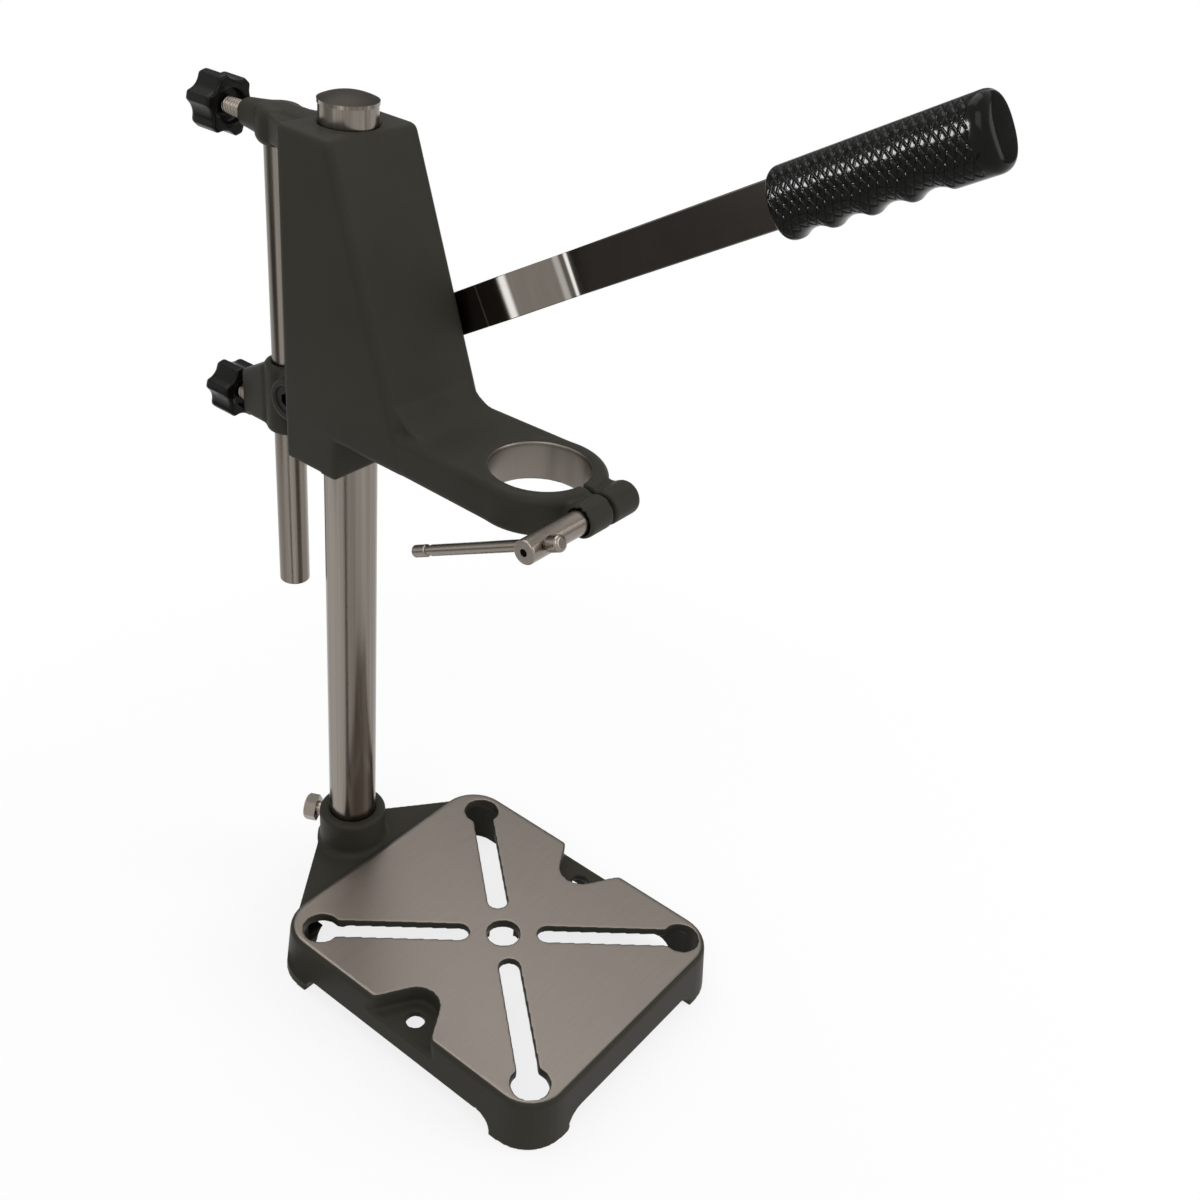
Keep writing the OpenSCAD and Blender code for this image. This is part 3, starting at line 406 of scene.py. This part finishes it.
def spring_coil():
    """The return spring in round wire: open turns between one flat turn at each end."""
    low, high = (corner.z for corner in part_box("return_spring"))
    end_rise = 2.0 * WIRE_R + SPRING_END_GAP
    open_rise = (high - low - 2.0 * WIRE_R - 2.0 * end_rise) / SPRING_TURNS
    turns = np.linspace(0.0, SPRING_TURNS + 2.0, (SPRING_TURNS + 2) * POINTS_A_TURN + 1)
    knots = (0.0, 1.0, SPRING_TURNS + 1.0, SPRING_TURNS + 2.0)
    heights = np.cumsum((0.0, end_rise, SPRING_TURNS * open_rise, end_rise))
    level = low + WIRE_R + np.interp(turns, knots, heights)
    angle = TURN * turns[:, None]
    round_wire = np.linspace(0.0, TURN, WIRE_POINTS, endpoint=False)[None, :]
    r = SPRING_R + WIRE_R * np.cos(round_wire)
    z = level[:, None] + WIRE_R * np.sin(round_wire)
    points = np.stack((r * np.cos(angle), COLUMN_Y + r * np.sin(angle), z), -1)
    return loft("spring_coil", points)


# Shader nodes


def feed(tree, value, socket):
    """Links a socket to another one, or sets its own value."""
    if isinstance(value, bpy.types.NodeSocket):
        tree.links.new(value, socket)
    else:
        socket.default_value = value


def place(tree, kind, values=None, **settings):
    """Adds a node, sets its properties, and sets or links its inputs by name or number."""
    made = tree.nodes.new(kind)
    for key, value in settings.items():
        setattr(made, key, value)
    for key, value in (values or {}).items():
        feed(tree, value, made.inputs[key])
    return made


def maths(tree, operation, a, b=0.0):
    return place(tree, "ShaderNodeMath", {0: a, 1: b}, operation=operation).outputs[0]


def between(tree, value, low, high):
    """A soft 0 to 1 step of a value from low to high."""
    step = place(
        tree,
        "ShaderNodeMapRange",
        {"Value": value, "From Min": low, "From Max": high},
        interpolation_type="SMOOTHSTEP",
    )
    return step.outputs["Result"]


def blend(tree, kind, factor, a, b):
    made = place(tree, "ShaderNodeMix", data_type=kind)
    for name, value in (("Factor", factor), ("A", a), ("B", b)):
        feed(tree, value, next(s for s in made.inputs if s.name == name and s.enabled))
    return next(s for s in made.outputs if s.enabled)


def mix_colour(tree, factor, a, b):
    return blend(tree, "RGBA", factor, a, b)


def mix_value(tree, factor, a, b):
    return blend(tree, "FLOAT", factor, a, b)


def on_surface(tree, coordinate):
    """A texture coordinate of the surface, such as Object or Normal."""
    return place(tree, "ShaderNodeTexCoord").outputs[coordinate]


def split_xyz(tree, vector):
    split = place(tree, "ShaderNodeSeparateXYZ", {0: vector})
    return [split.outputs[axis] for axis in "XYZ"]


def new_group(name, inputs, outputs):
    """A node group with values for inputs, and its own input and output nodes."""
    group = bpy.data.node_groups.new(name, "ShaderNodeTree")
    for socket, default in inputs.items():
        made = group.interface.new_socket(socket, in_out="INPUT", socket_type="NodeSocketFloat")
        made.default_value = default
    for socket in outputs:
        group.interface.new_socket(socket, in_out="OUTPUT", socket_type="NodeSocketFloat")
    return group, group.nodes.new("NodeGroupInput"), group.nodes.new("NodeGroupOutput")


def noise(tree, vector, scale, **settings):
    values = {"Vector": vector, "Scale": scale, **settings}
    return place(tree, "ShaderNodeTexNoise", values).outputs[0]


def cast_skin_group():
    """Fine orange peel of paint on a sand casting, with slow changes of tone."""
    group, given, put = new_group(
        "cast skin", {"Grain": 900.0, "Patch": 30.0}, ("Height", "Tone")
    )
    where = on_surface(group, "Object")
    grain = noise(group, where, given.outputs["Grain"], Detail=3.0, Roughness=0.6)
    patch = noise(group, where, given.outputs["Patch"], Detail=4.0, Roughness=0.55)
    group.links.new(grain, put.inputs["Height"])
    group.links.new(patch, put.inputs["Tone"])
    return group


def drawn_marks_group():
    """Long fine marks along one axis, as grinding, drawing or polishing leaves them."""
    group, given, put = new_group(
        "drawn marks",
        {"Along X": 1.0, "Along Y": 1.0, "Along Z": 1.0, "Scale": 600.0},
        ("Marks", "Cloud"),
    )
    where = on_surface(group, "Object")
    shares = {axis: given.outputs["Along " + axis] for axis in "XYZ"}
    stretch = place(group, "ShaderNodeCombineXYZ", shares).outputs[0]
    drawn = place(group, "ShaderNodeVectorMath", {0: where, 1: stretch}, operation="MULTIPLY")
    marks = noise(group, drawn.outputs[0], given.outputs["Scale"], Detail=5.0, Roughness=0.65)
    group.links.new(marks, put.inputs["Marks"])
    group.links.new(noise(group, where, 24.0, Detail=3.0), put.inputs["Cloud"])
    return group


def worn_edge_and_sheen_group():
    """Mask of raised edges, broken up as wear is. It gives worn, paler edges, and on the enamel
    partly a painted highlight along them.
    """
    group, given, put = new_group("worn edge and sheen", {"From": 0.52, "To": 0.6}, ("Mask",))
    raised = place(group, "ShaderNodeNewGeometry").outputs["Pointiness"]
    limits = {"From Min": given.outputs["From"], "From Max": given.outputs["To"]}
    step = place(group, "ShaderNodeMapRange", {"Value": raised, **limits}).outputs["Result"]
    chips = noise(group, on_surface(group, "Object"), 160.0, Detail=4.0)
    group.links.new(maths(group, "MULTIPLY", step, chips), put.inputs["Mask"])
    return group


CAST_SKIN = cast_skin_group()
DRAWN_MARKS = drawn_marks_group()
WORN_EDGE_AND_SHEEN = worn_edge_and_sheen_group()


def use_group(tree, group, **values):
    """Places a group, with its values. An underscore stands for the space in an input's name."""
    inputs = {name.replace("_", " "): value for name, value in values.items()}
    return place(tree, "ShaderNodeGroup", inputs, node_tree=group)


def use_marks(tree, along, scale):
    x, y, z = along
    return use_group(tree, DRAWN_MARKS, Along_X=x, Along_Y=y, Along_Z=z, Scale=scale)


def bump(tree, height, strength, distance):
    values = {"Height": height, "Strength": strength, "Distance": distance}
    return place(tree, "ShaderNodeBump", values).outputs["Normal"]


def new_material(name):
    material = bpy.data.materials.new(name)
    material.use_nodes = True
    tree = material.node_tree
    shader = tree.nodes["Principled BSDF"]
    return material, tree, shader


# Finishes

ENAMEL = (0.0290, 0.0273, 0.0213, 1.0)
ENAMEL_PALE = (0.0379, 0.0360, 0.0284, 1.0)
# Paler enamel on raised edges, and its share: worn paint, and partly a painted highlight
ENAMEL_WORN_AND_SHEEN = (0.070, 0.067, 0.058, 1.0)
ENAMEL_ROUGHNESS = (0.36, 0.50)
ENAMEL_WEAR_AND_SHEEN = 0.3
ENAMEL_SHINE = 0.06
BARE_IRON = (0.250, 0.222, 0.196, 1.0)
BARE_IRON_DARK = (0.190, 0.166, 0.145, 1.0)
IRON_ROUGHNESS = (0.30, 0.46)
IRON_CLOUD = 0.25
GROUND_SCALE = 700.0


def enamel_material(name, bare_mask=None, marks=(1.0, 1.0, 1.0)):
    """Charcoal enamel on a casting. bare_mask(tree) gives the places machined to bare iron."""
    material, tree, shader = new_material(name)
    skin = use_group(tree, CAST_SKIN)
    # Paler raised edges: worn paint, and partly a painted highlight along them
    worn = maths(tree, "MULTIPLY", use_group(tree, WORN_EDGE_AND_SHEEN).outputs["Mask"], ENAMEL_WEAR_AND_SHEEN)
    colour = mix_colour(tree, skin.outputs["Tone"], ENAMEL, ENAMEL_PALE)
    colour = mix_colour(tree, worn, colour, ENAMEL_WORN_AND_SHEEN)
    roughness = mix_value(tree, skin.outputs["Tone"], *ENAMEL_ROUGHNESS)
    height = skin.outputs["Height"]
    if bare_mask:
        mask = bare_mask(tree)
        ground = use_marks(tree, marks, GROUND_SCALE)
        cloud = maths(tree, "MULTIPLY", ground.outputs["Cloud"], IRON_CLOUD)
        iron = mix_colour(tree, ground.outputs["Marks"], BARE_IRON_DARK, BARE_IRON)
        iron = mix_colour(tree, cloud, iron, BARE_IRON_DARK)
        iron_roughness = mix_value(tree, ground.outputs["Marks"], *IRON_ROUGHNESS)
        colour = mix_colour(tree, mask, colour, iron)
        roughness = mix_value(tree, mask, roughness, iron_roughness)
        height = mix_value(tree, mask, height, ground.outputs["Marks"])
        tree.links.new(mask, shader.inputs["Metallic"])
    tree.links.new(colour, shader.inputs["Base Color"])
    tree.links.new(roughness, shader.inputs["Roughness"])
    tree.links.new(bump(tree, height, 0.10, 0.4 * MM), shader.inputs["Normal"])
    shader.inputs["Specular IOR Level"].default_value = ENAMEL_SHINE
    return material


def table_mask(tree):
    """The ground face of the table, inside its painted round edge."""
    y, z = split_xyz(tree, on_surface(tree, "Object"))[1:]
    facing_up = split_xyz(tree, on_surface(tree, "Normal"))[2]
    top = between(tree, z, -0.8 * MM, -0.3 * MM)
    flat = between(tree, facing_up, 0.90, 0.98)
    on_table = maths(tree, "LESS_THAN", y, TABLE_REAR + 1.0 * MM)
    return maths(tree, "MULTIPLY", maths(tree, "MULTIPLY", top, flat), on_table)


def bore_mask(tree):
    """The bored inside of the drill collar."""
    x, y, z = split_xyz(tree, on_surface(tree, "Object"))
    squares = (maths(tree, "MULTIPLY", part, part) for part in (x, y))
    out = maths(tree, "SQRT", maths(tree, "ADD", *squares))
    inside = between(tree, out, COLLAR_R + 0.6 * MM, COLLAR_R + 0.25 * MM)
    high_up = maths(tree, "GREATER_THAN", z, COLLAR_TOP - COLLAR_H - 1.0 * MM)
    return maths(tree, "MULTIPLY", inside, high_up)


# Marks on bright metal: their fineness, how the broad painted reflection bands show, and the
# stretch along a bar
FINE_SCALE = 900.0
REFLECTION_BAND_SHARE = 0.75
REFLECTION_BAND_EDGES = (0.38, 0.64)
LENGTHWAYS = 0.006


def metal_material(
    name, colour, dark, roughness, along=(1.0, 1.0, 1.0), marks=0.06, reflection_bands=0.0
):
    """Bright metal with fine marks along one axis, and broad bands of painted reflection where
    asked for.
    """
    material, tree, shader = new_material(name)
    drawn = use_marks(tree, along, FINE_SCALE)
    tone = drawn.outputs["Marks"]
    # Broad light and dark bands along the bar: painted reflection
    if reflection_bands:
        broad = use_marks(tree, along, reflection_bands).outputs["Marks"]
        tone = mix_value(tree, REFLECTION_BAND_SHARE, tone, between(tree, broad, *REFLECTION_BAND_EDGES))
    cloudy = mix_value(tree, drawn.outputs["Cloud"], roughness * 0.8, roughness * 1.25)
    tree.links.new(mix_colour(tree, tone, dark, colour), shader.inputs["Base Color"])
    tree.links.new(cloudy, shader.inputs["Roughness"])
    tree.links.new(bump(tree, drawn.outputs["Marks"], marks, 0.2 * MM), shader.inputs["Normal"])
    shader.inputs["Metallic"].default_value = 1.0
    return material


# Painted highlights across the lever at its bends: place from the fulcrum, half width, and share
# of the highlight colour
NICKEL_HIGHLIGHT = (0.86, 0.84, 0.80, 1.0)
NICKEL_SHADE = (0.10, 0.086, 0.074, 1.0)
SHADE_LINE = (139.3 * MM, 1.6 * MM)
BEND_HIGHLIGHTS = (
    (99.0 * MM, 0.7 * MM, 0.8),
    (114.6 * MM, 2.6 * MM, 0.9),
    (137.0 * MM, 2.0 * MM, 0.3),
    (141.4 * MM, 1.3 * MM, 1.0),
)


def along_lever(tree):
    """Distance along the lever from its fulcrum."""
    run = Vector((0.0, -math.cos(LEVER_SLOPE), math.sin(LEVER_SLOPE)))
    inputs = {0: on_surface(tree, "Object"), 1: run}
    along = place(tree, "ShaderNodeVectorMath", inputs, operation="DOT_PRODUCT").outputs["Value"]
    return maths(tree, "SUBTRACT", along, run.dot(Vector(FULCRUM)))


def line_mask(tree, along, middle, half_w):
    off = maths(tree, "ABSOLUTE", maths(tree, "SUBTRACT", along, middle))
    return between(tree, off, half_w, 0.2 * half_w)


def paint_bend_highlights(material):
    """Painted highlights across the lever where its bends catch the light, and a painted dark line
    of shade beside one.
    """
    tree = material.node_tree
    colour = tree.nodes["Principled BSDF"].inputs["Base Color"]
    along = along_lever(tree)
    # A painted dark line of shade beside a bend's painted highlight
    dull = line_mask(tree, along, *SHADE_LINE)
    tone = mix_colour(tree, dull, colour.links[0].from_socket, NICKEL_SHADE)
    # Painted highlights, one line at each place where a bend catches the light
    for middle, half_w, share in BEND_HIGHLIGHTS:
        line = maths(tree, "MULTIPLY", line_mask(tree, along, middle, half_w), share)
        tone = mix_colour(tree, line, tone, NICKEL_HIGHLIGHT)
    tree.links.new(tone, colour)


CROWN_DARK = (0.034, 0.029, 0.023, 1.0)
CROWN_ROUGHNESS = 0.5
CROWN_FACING = (0.45, 0.80)


def darken_crown(material):
    """The cap's crown, where it faces up, darker and rougher than its bright rim."""
    tree = material.node_tree
    shader = tree.nodes["Principled BSDF"]
    crown = between(tree, split_xyz(tree, on_surface(tree, "Normal"))[2], *CROWN_FACING)
    for socket, mix, dull in (
        ("Base Color", mix_colour, CROWN_DARK),
        ("Roughness", mix_value, CROWN_ROUGHNESS),
    ):
        bright = shader.inputs[socket].links[0].from_socket
        tree.links.new(mix(tree, crown, bright, dull), shader.inputs[socket])


MOULDING_PATCH = 60.0
MOULDING_WEAR = 0.15
MOULDING_WORN = (0.05, 0.048, 0.045, 1.0)
MOULDING_SHINE = 0.11


def moulded_material(name, colour, pale, roughness, grain, strength):
    """Moulded plastic or rubber with a fine skin and dusty, paler edges."""
    material, tree, shader = new_material(name)
    skin = use_group(tree, CAST_SKIN, Grain=grain, Patch=MOULDING_PATCH)
    worn = maths(tree, "MULTIPLY", use_group(tree, WORN_EDGE_AND_SHEEN).outputs["Mask"], MOULDING_WEAR)
    tone = mix_colour(tree, skin.outputs["Tone"], colour, pale)
    tone = mix_colour(tree, worn, tone, MOULDING_WORN)
    patchy = mix_value(tree, skin.outputs["Tone"], roughness * 0.85, roughness * 1.2)
    tree.links.new(tone, shader.inputs["Base Color"])
    tree.links.new(patchy, shader.inputs["Roughness"])
    tree.links.new(
        bump(tree, skin.outputs["Height"], strength, 0.3 * MM), shader.inputs["Normal"]
    )
    shader.inputs["Specular IOR Level"].default_value = MOULDING_SHINE
    return material


base_enamel = enamel_material("base enamel and ground table", table_mask, (0.06, 1.0, 1.0))
head_enamel = enamel_material("head enamel and bored collar", bore_mask, (1.0, 1.0, 0.1))
bracket_enamel = enamel_material("bracket enamel")
column_steel = metal_material(
    "drawn column steel",
    (0.30, 0.270, 0.235, 1.0),
    (0.15, 0.130, 0.110, 1.0),
    0.22,
    along=(1.0, 1.0, LENGTHWAYS),
    marks=0.05,
    reflection_bands=110.0,
)
cap_steel = metal_material(
    "turned cap steel",
    (0.44, 0.40, 0.35, 1.0),
    (0.09, 0.078, 0.066, 1.0),
    0.20,
    along=(1.0, 1.0, LENGTHWAYS),
    marks=0.05,
    reflection_bands=150.0,
)
darken_crown(cap_steel)
zinc = metal_material(
    "bright zinc", (0.32, 0.282, 0.245, 1.0), (0.19, 0.165, 0.140, 1.0), 0.27, marks=0.02
)
nickel = metal_material(
    "nickel plate",
    (0.200, 0.178, 0.155, 1.0),
    (0.148, 0.130, 0.112, 1.0),
    0.15,
    along=(1.0, 0.05, 0.05),
)
paint_bend_highlights(nickel)
spring_steel = metal_material(
    "spring wire", (0.25, 0.24, 0.23, 1.0), (0.15, 0.145, 0.14, 1.0), 0.3
)
black_oxide = metal_material(
    "black oxide", (0.035, 0.034, 0.033, 1.0), (0.02, 0.02, 0.02, 1.0), 0.4
)
knob_plastic = moulded_material(
    "knob plastic",
    (0.0042, 0.0040, 0.0035, 1.0),
    (0.0070, 0.0067, 0.0060, 1.0),
    roughness=0.26,
    grain=1400.0,
    strength=0.04,
)
grip_rubber = moulded_material(
    "grip rubber",
    (0.0036, 0.0034, 0.0030, 1.0),
    (0.0060, 0.0057, 0.0050, 1.0),
    roughness=0.15,
    grain=1600.0,
    strength=0.03,
)
buffer_rubber = moulded_material(
    "buffer rubber",
    (0.012, 0.012, 0.012, 1.0),
    (0.02, 0.02, 0.02, 1.0),
    roughness=0.7,
    grain=1200.0,
    strength=0.15,
)


# The stand's pieces


def finish_with(piece, material):
    piece.data.materials.clear()
    piece.data.materials.append(material)


def stand_for(piece, node, body, material):
    """Puts a piece in place of a CAD node, on its body and with its finish."""
    finish_with(piece, material)
    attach(piece, body)
    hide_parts(node)
    return piece


for steel_node in ("column", "guide_rod"):
    finish_with(nodes[steel_node], column_steel)
finish_with(nodes["column_cap"], cap_steel)
for zinc_node in (
    "socket_bolt",
    "fulcrum_bush",
    "fulcrum_spacer",
    "fulcrum_washer",
    "fulcrum_nut",
    "spring_seat",
    "drive_pin",
    "drive_washer",
    "clamp_screw",
    "tommy_bar",
):
    finish_with(nodes[zinc_node], zinc)
finish_with(nodes["fulcrum_bolt"], black_oxide)
finish_with(nodes["stop_buffer"], buffer_rubber)

for node, body, name, rounds, material in (
    ("base_casting", "base", "base_body", 3, base_enamel),
    ("head_casting", "head", "head_body", 4, head_enamel),
    ("feed_bracket", "bracket", "bracket_body", 5, bracket_enamel),
):
    casting = soft_casting(node, name, CASTING_VOXEL, rounds)
    stand_for(casting, node, body, material)

lever = eased_plate("lever_bar", "lever_plate", LEVER_EASE, LEVER_BEND)
stand_for(lever, "lever_bar", "lever", nickel)
grip = stand_for(grip_moulding(), "lever_grip", "lever", grip_rubber)
for knob, stud in (("upper_knob", "upper_stud"), ("lower_knob", "lower_stud")):
    star = knob_moulding(knob, knob + "_moulding")
    stand_for(star, knob, knob, knob_plastic)
    stand_for(threaded_stud(stud, stud + "_thread"), stud, knob, zinc)
coil = stand_for(spring_coil(), "return_spring", "bracket", spring_steel)
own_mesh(coil)


# Studio

# The camera, fitted to the straight edges of the stand
CAMERA_AT = Vector((-401.0, -312.9, 547.6)) * MM
CAMERA_AZIMUTH = math.radians(-55.5)
CAMERA_ELEVATION = math.radians(33.3)
CAMERA_ROLL = math.radians(6.43)
SENSOR_W = 36.0
FOCAL_PX = 1384.0
IMAGE_PX = 1200.0


def add_camera():
    cos_turn, sin_turn = math.cos(CAMERA_AZIMUTH), math.sin(CAMERA_AZIMUTH)
    cos_rise, sin_rise = math.cos(CAMERA_ELEVATION), math.sin(CAMERA_ELEVATION)
    cos_roll, sin_roll = math.cos(CAMERA_ROLL), math.sin(CAMERA_ROLL)
    back = Vector((sin_turn * cos_rise, -cos_turn * cos_rise, sin_rise))
    level = Vector((cos_turn, sin_turn, 0.0))
    upright = back.cross(level)
    right = cos_roll * level + sin_roll * upright
    up = cos_roll * upright - sin_roll * level
    facing = Matrix((right, up, back)).transposed().to_4x4()
    data = bpy.data.cameras.new("camera")
    data.sensor_width = SENSOR_W
    data.lens = SENSOR_W * FOCAL_PX / IMAGE_PX
    camera = bpy.data.objects.new("camera", data)
    camera.matrix_world = Matrix.Translation(CAMERA_AT) @ facing
    bpy.context.scene.collection.objects.link(camera)
    bpy.context.scene.camera = camera


# Soft boxes: name, place, width and height, watts. All aim at the stand's middle
STAND_MIDDLE = (0.0, 0.06, 0.22)
SOFT_BOXES = (
    ("key", (-1.1, -0.5, 1.5), (0.9, 0.9), 7.0),
    ("fill", (0.9, -1.3, 0.9), (1.0, 1.0), 10.0),
    ("top", (0.2, 0.6, 1.7), (1.2, 1.2), 10.0),
)
GLINT_FROM = Vector((-0.80, 0.585, 0.09)).normalized()
GLINT_DISTANCE = 0.8
GLINT_SIZE = (0.27, 0.23)
GLINT_WATTS = 14.0


def add_softbox(name, at, aim, size, watts):
    data = bpy.data.lights.new(name, "AREA")
    data.shape = "RECTANGLE"
    data.size, data.size_y = size
    data.energy = watts
    lamp = bpy.data.objects.new(name, data)
    lamp.location = at
    lamp.rotation_euler = (Vector(at) - Vector(aim)).to_track_quat("Z", "Y").to_euler()
    bpy.context.scene.collection.objects.link(lamp)
    return lamp


def add_glint_lamp(moulding):
    """A small lamp that makes the row of glints on the grip, and lights nothing else."""
    low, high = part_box("lever_grip")
    aim = (low + high) / 2
    lamp = add_softbox("glint", aim + GLINT_DISTANCE * GLINT_FROM, aim, GLINT_SIZE, GLINT_WATTS)
    lamp.visible_camera = lamp.visible_diffuse = lamp.visible_transmission = False
    lit = bpy.data.collections.new("lit by the glint lamp")
    lit.objects.link(moulding)
    lamp.light_linking.receiver_collection = lit


def seen_rays(tree):
    """1 for a ray from the camera, or one mirrored or passed on from it."""
    rays = place(tree, "ShaderNodeLightPath")
    seen = maths(tree, "MAXIMUM", rays.outputs["Is Camera Ray"], rays.outputs["Is Glossy Ray"])
    return maths(tree, "MAXIMUM", seen, rays.outputs["Is Transmission Ray"])


WHITE = (1.0, 1.0, 1.0, 1.0)
FLOOR_HALF = 6.0
FLOOR_Z = cad_box[0][2]
FLOOR_TONE = (0.9, 0.9, 0.9, 1.0)
SHADOW_EDGE = (0.25, 0.5)
SHADOW_SHARE = 0.8
SKY_LIGHT = 0.55


def add_floor():
    """A white floor that keeps a soft shadow. Straight and mirrored views see it nearly white."""
    sides = ((-1, -1), (1, -1), (1, 1), (-1, 1))
    corners = [(x * FLOOR_HALF, y * FLOOR_HALF, FLOOR_Z) for x, y in sides]
    floor = add_mesh("floor", corners, [(0, 1, 2, 3)])
    material, tree, shader = new_material("white floor")
    shader.inputs["Base Color"].default_value = FLOOR_TONE
    shader.inputs["Roughness"].default_value = 0.9
    shader.inputs["Specular IOR Level"].default_value = 0.1
    white = place(tree, "ShaderNodeEmission", {"Color": WHITE, "Strength": 1.0})
    where = on_surface(tree, "Object")
    out = place(tree, "ShaderNodeVectorMath", {0: where}, operation="LENGTH").outputs["Value"]
    far = mix_value(tree, between(tree, out, *SHADOW_EDGE), SHADOW_SHARE, 1.0)
    share = maths(tree, "MULTIPLY", seen_rays(tree), far)
    parts = {0: share, 1: shader.outputs[0], 2: white.outputs[0]}
    mixed = place(tree, "ShaderNodeMixShader", parts)
    tree.links.new(mixed.outputs[0], tree.nodes["Material Output"].inputs["Surface"])
    floor.data.materials.append(material)


def add_world():
    world = bpy.data.worlds.new("studio")
    bpy.context.scene.world = world
    world.use_nodes = True
    tree = world.node_tree
    tree.nodes.clear()
    strength = mix_value(tree, seen_rays(tree), SKY_LIGHT, 1.0)
    background = place(tree, "ShaderNodeBackground", {"Color": WHITE, "Strength": strength})
    out = place(tree, "ShaderNodeOutputWorld")
    tree.links.new(background.outputs[0], out.inputs["Surface"])


# Dark studio flags. A floor flag has its tone and its plan, and an upright flag its tone, the
# two ends of its plan, and its lower and upper edge
FLAG_Z = FLOOR_Z + 5.0 * MM
FLOOR_FLAGS = (
    ("left_flag", 0.14, ((-0.46, 0.25), (-0.46, 0.60), (-0.6, 1.5), (-1.6, 1.5), (-1.6, 0.45))),
    ("narrow_flag", 0.06, ((-0.05, 0.08), (-0.9, -0.36), (-0.9, -0.20), (-0.05, 0.10))),
)
UPRIGHT_FLAGS = (
    ("rear_flag", 0.30, (-0.6, 1.7), (2.2, 0.6), 0.35, 1.35),
    ("front_flag", 0.16, (1.8, 0.2), (0.8, -1.7), 0.2, 1.5),
)


def add_flag(name, tone, corners):
    """A dark card that shows only in reflections."""
    flag = add_mesh(name, corners, [tuple(range(len(corners)))], smooth=False)
    material, _, shader = new_material(name)
    shader.inputs["Base Color"].default_value = (tone, tone, tone, 1.0)
    shader.inputs["Specular IOR Level"].default_value = 0.0
    flag.data.materials.append(material)
    flag.visible_camera = flag.visible_diffuse = False
    flag.visible_shadow = flag.visible_transmission = False


add_camera()
add_floor()
add_world()
for box_name, at, size, watts in SOFT_BOXES:
    add_softbox(box_name, at, STAND_MIDDLE, size, watts)
for flag_name, tone, plan in FLOOR_FLAGS:
    add_flag(flag_name, tone, [(x, y, FLAG_Z) for x, y in plan])
for flag_name, tone, start, end, low, high in UPRIGHT_FLAGS:
    add_flag(flag_name, tone, [(*start, low), (*end, low), (*end, high), (*start, high)])
add_glint_lamp(grip)

bpy.context.scene.view_settings.view_transform = "Standard"
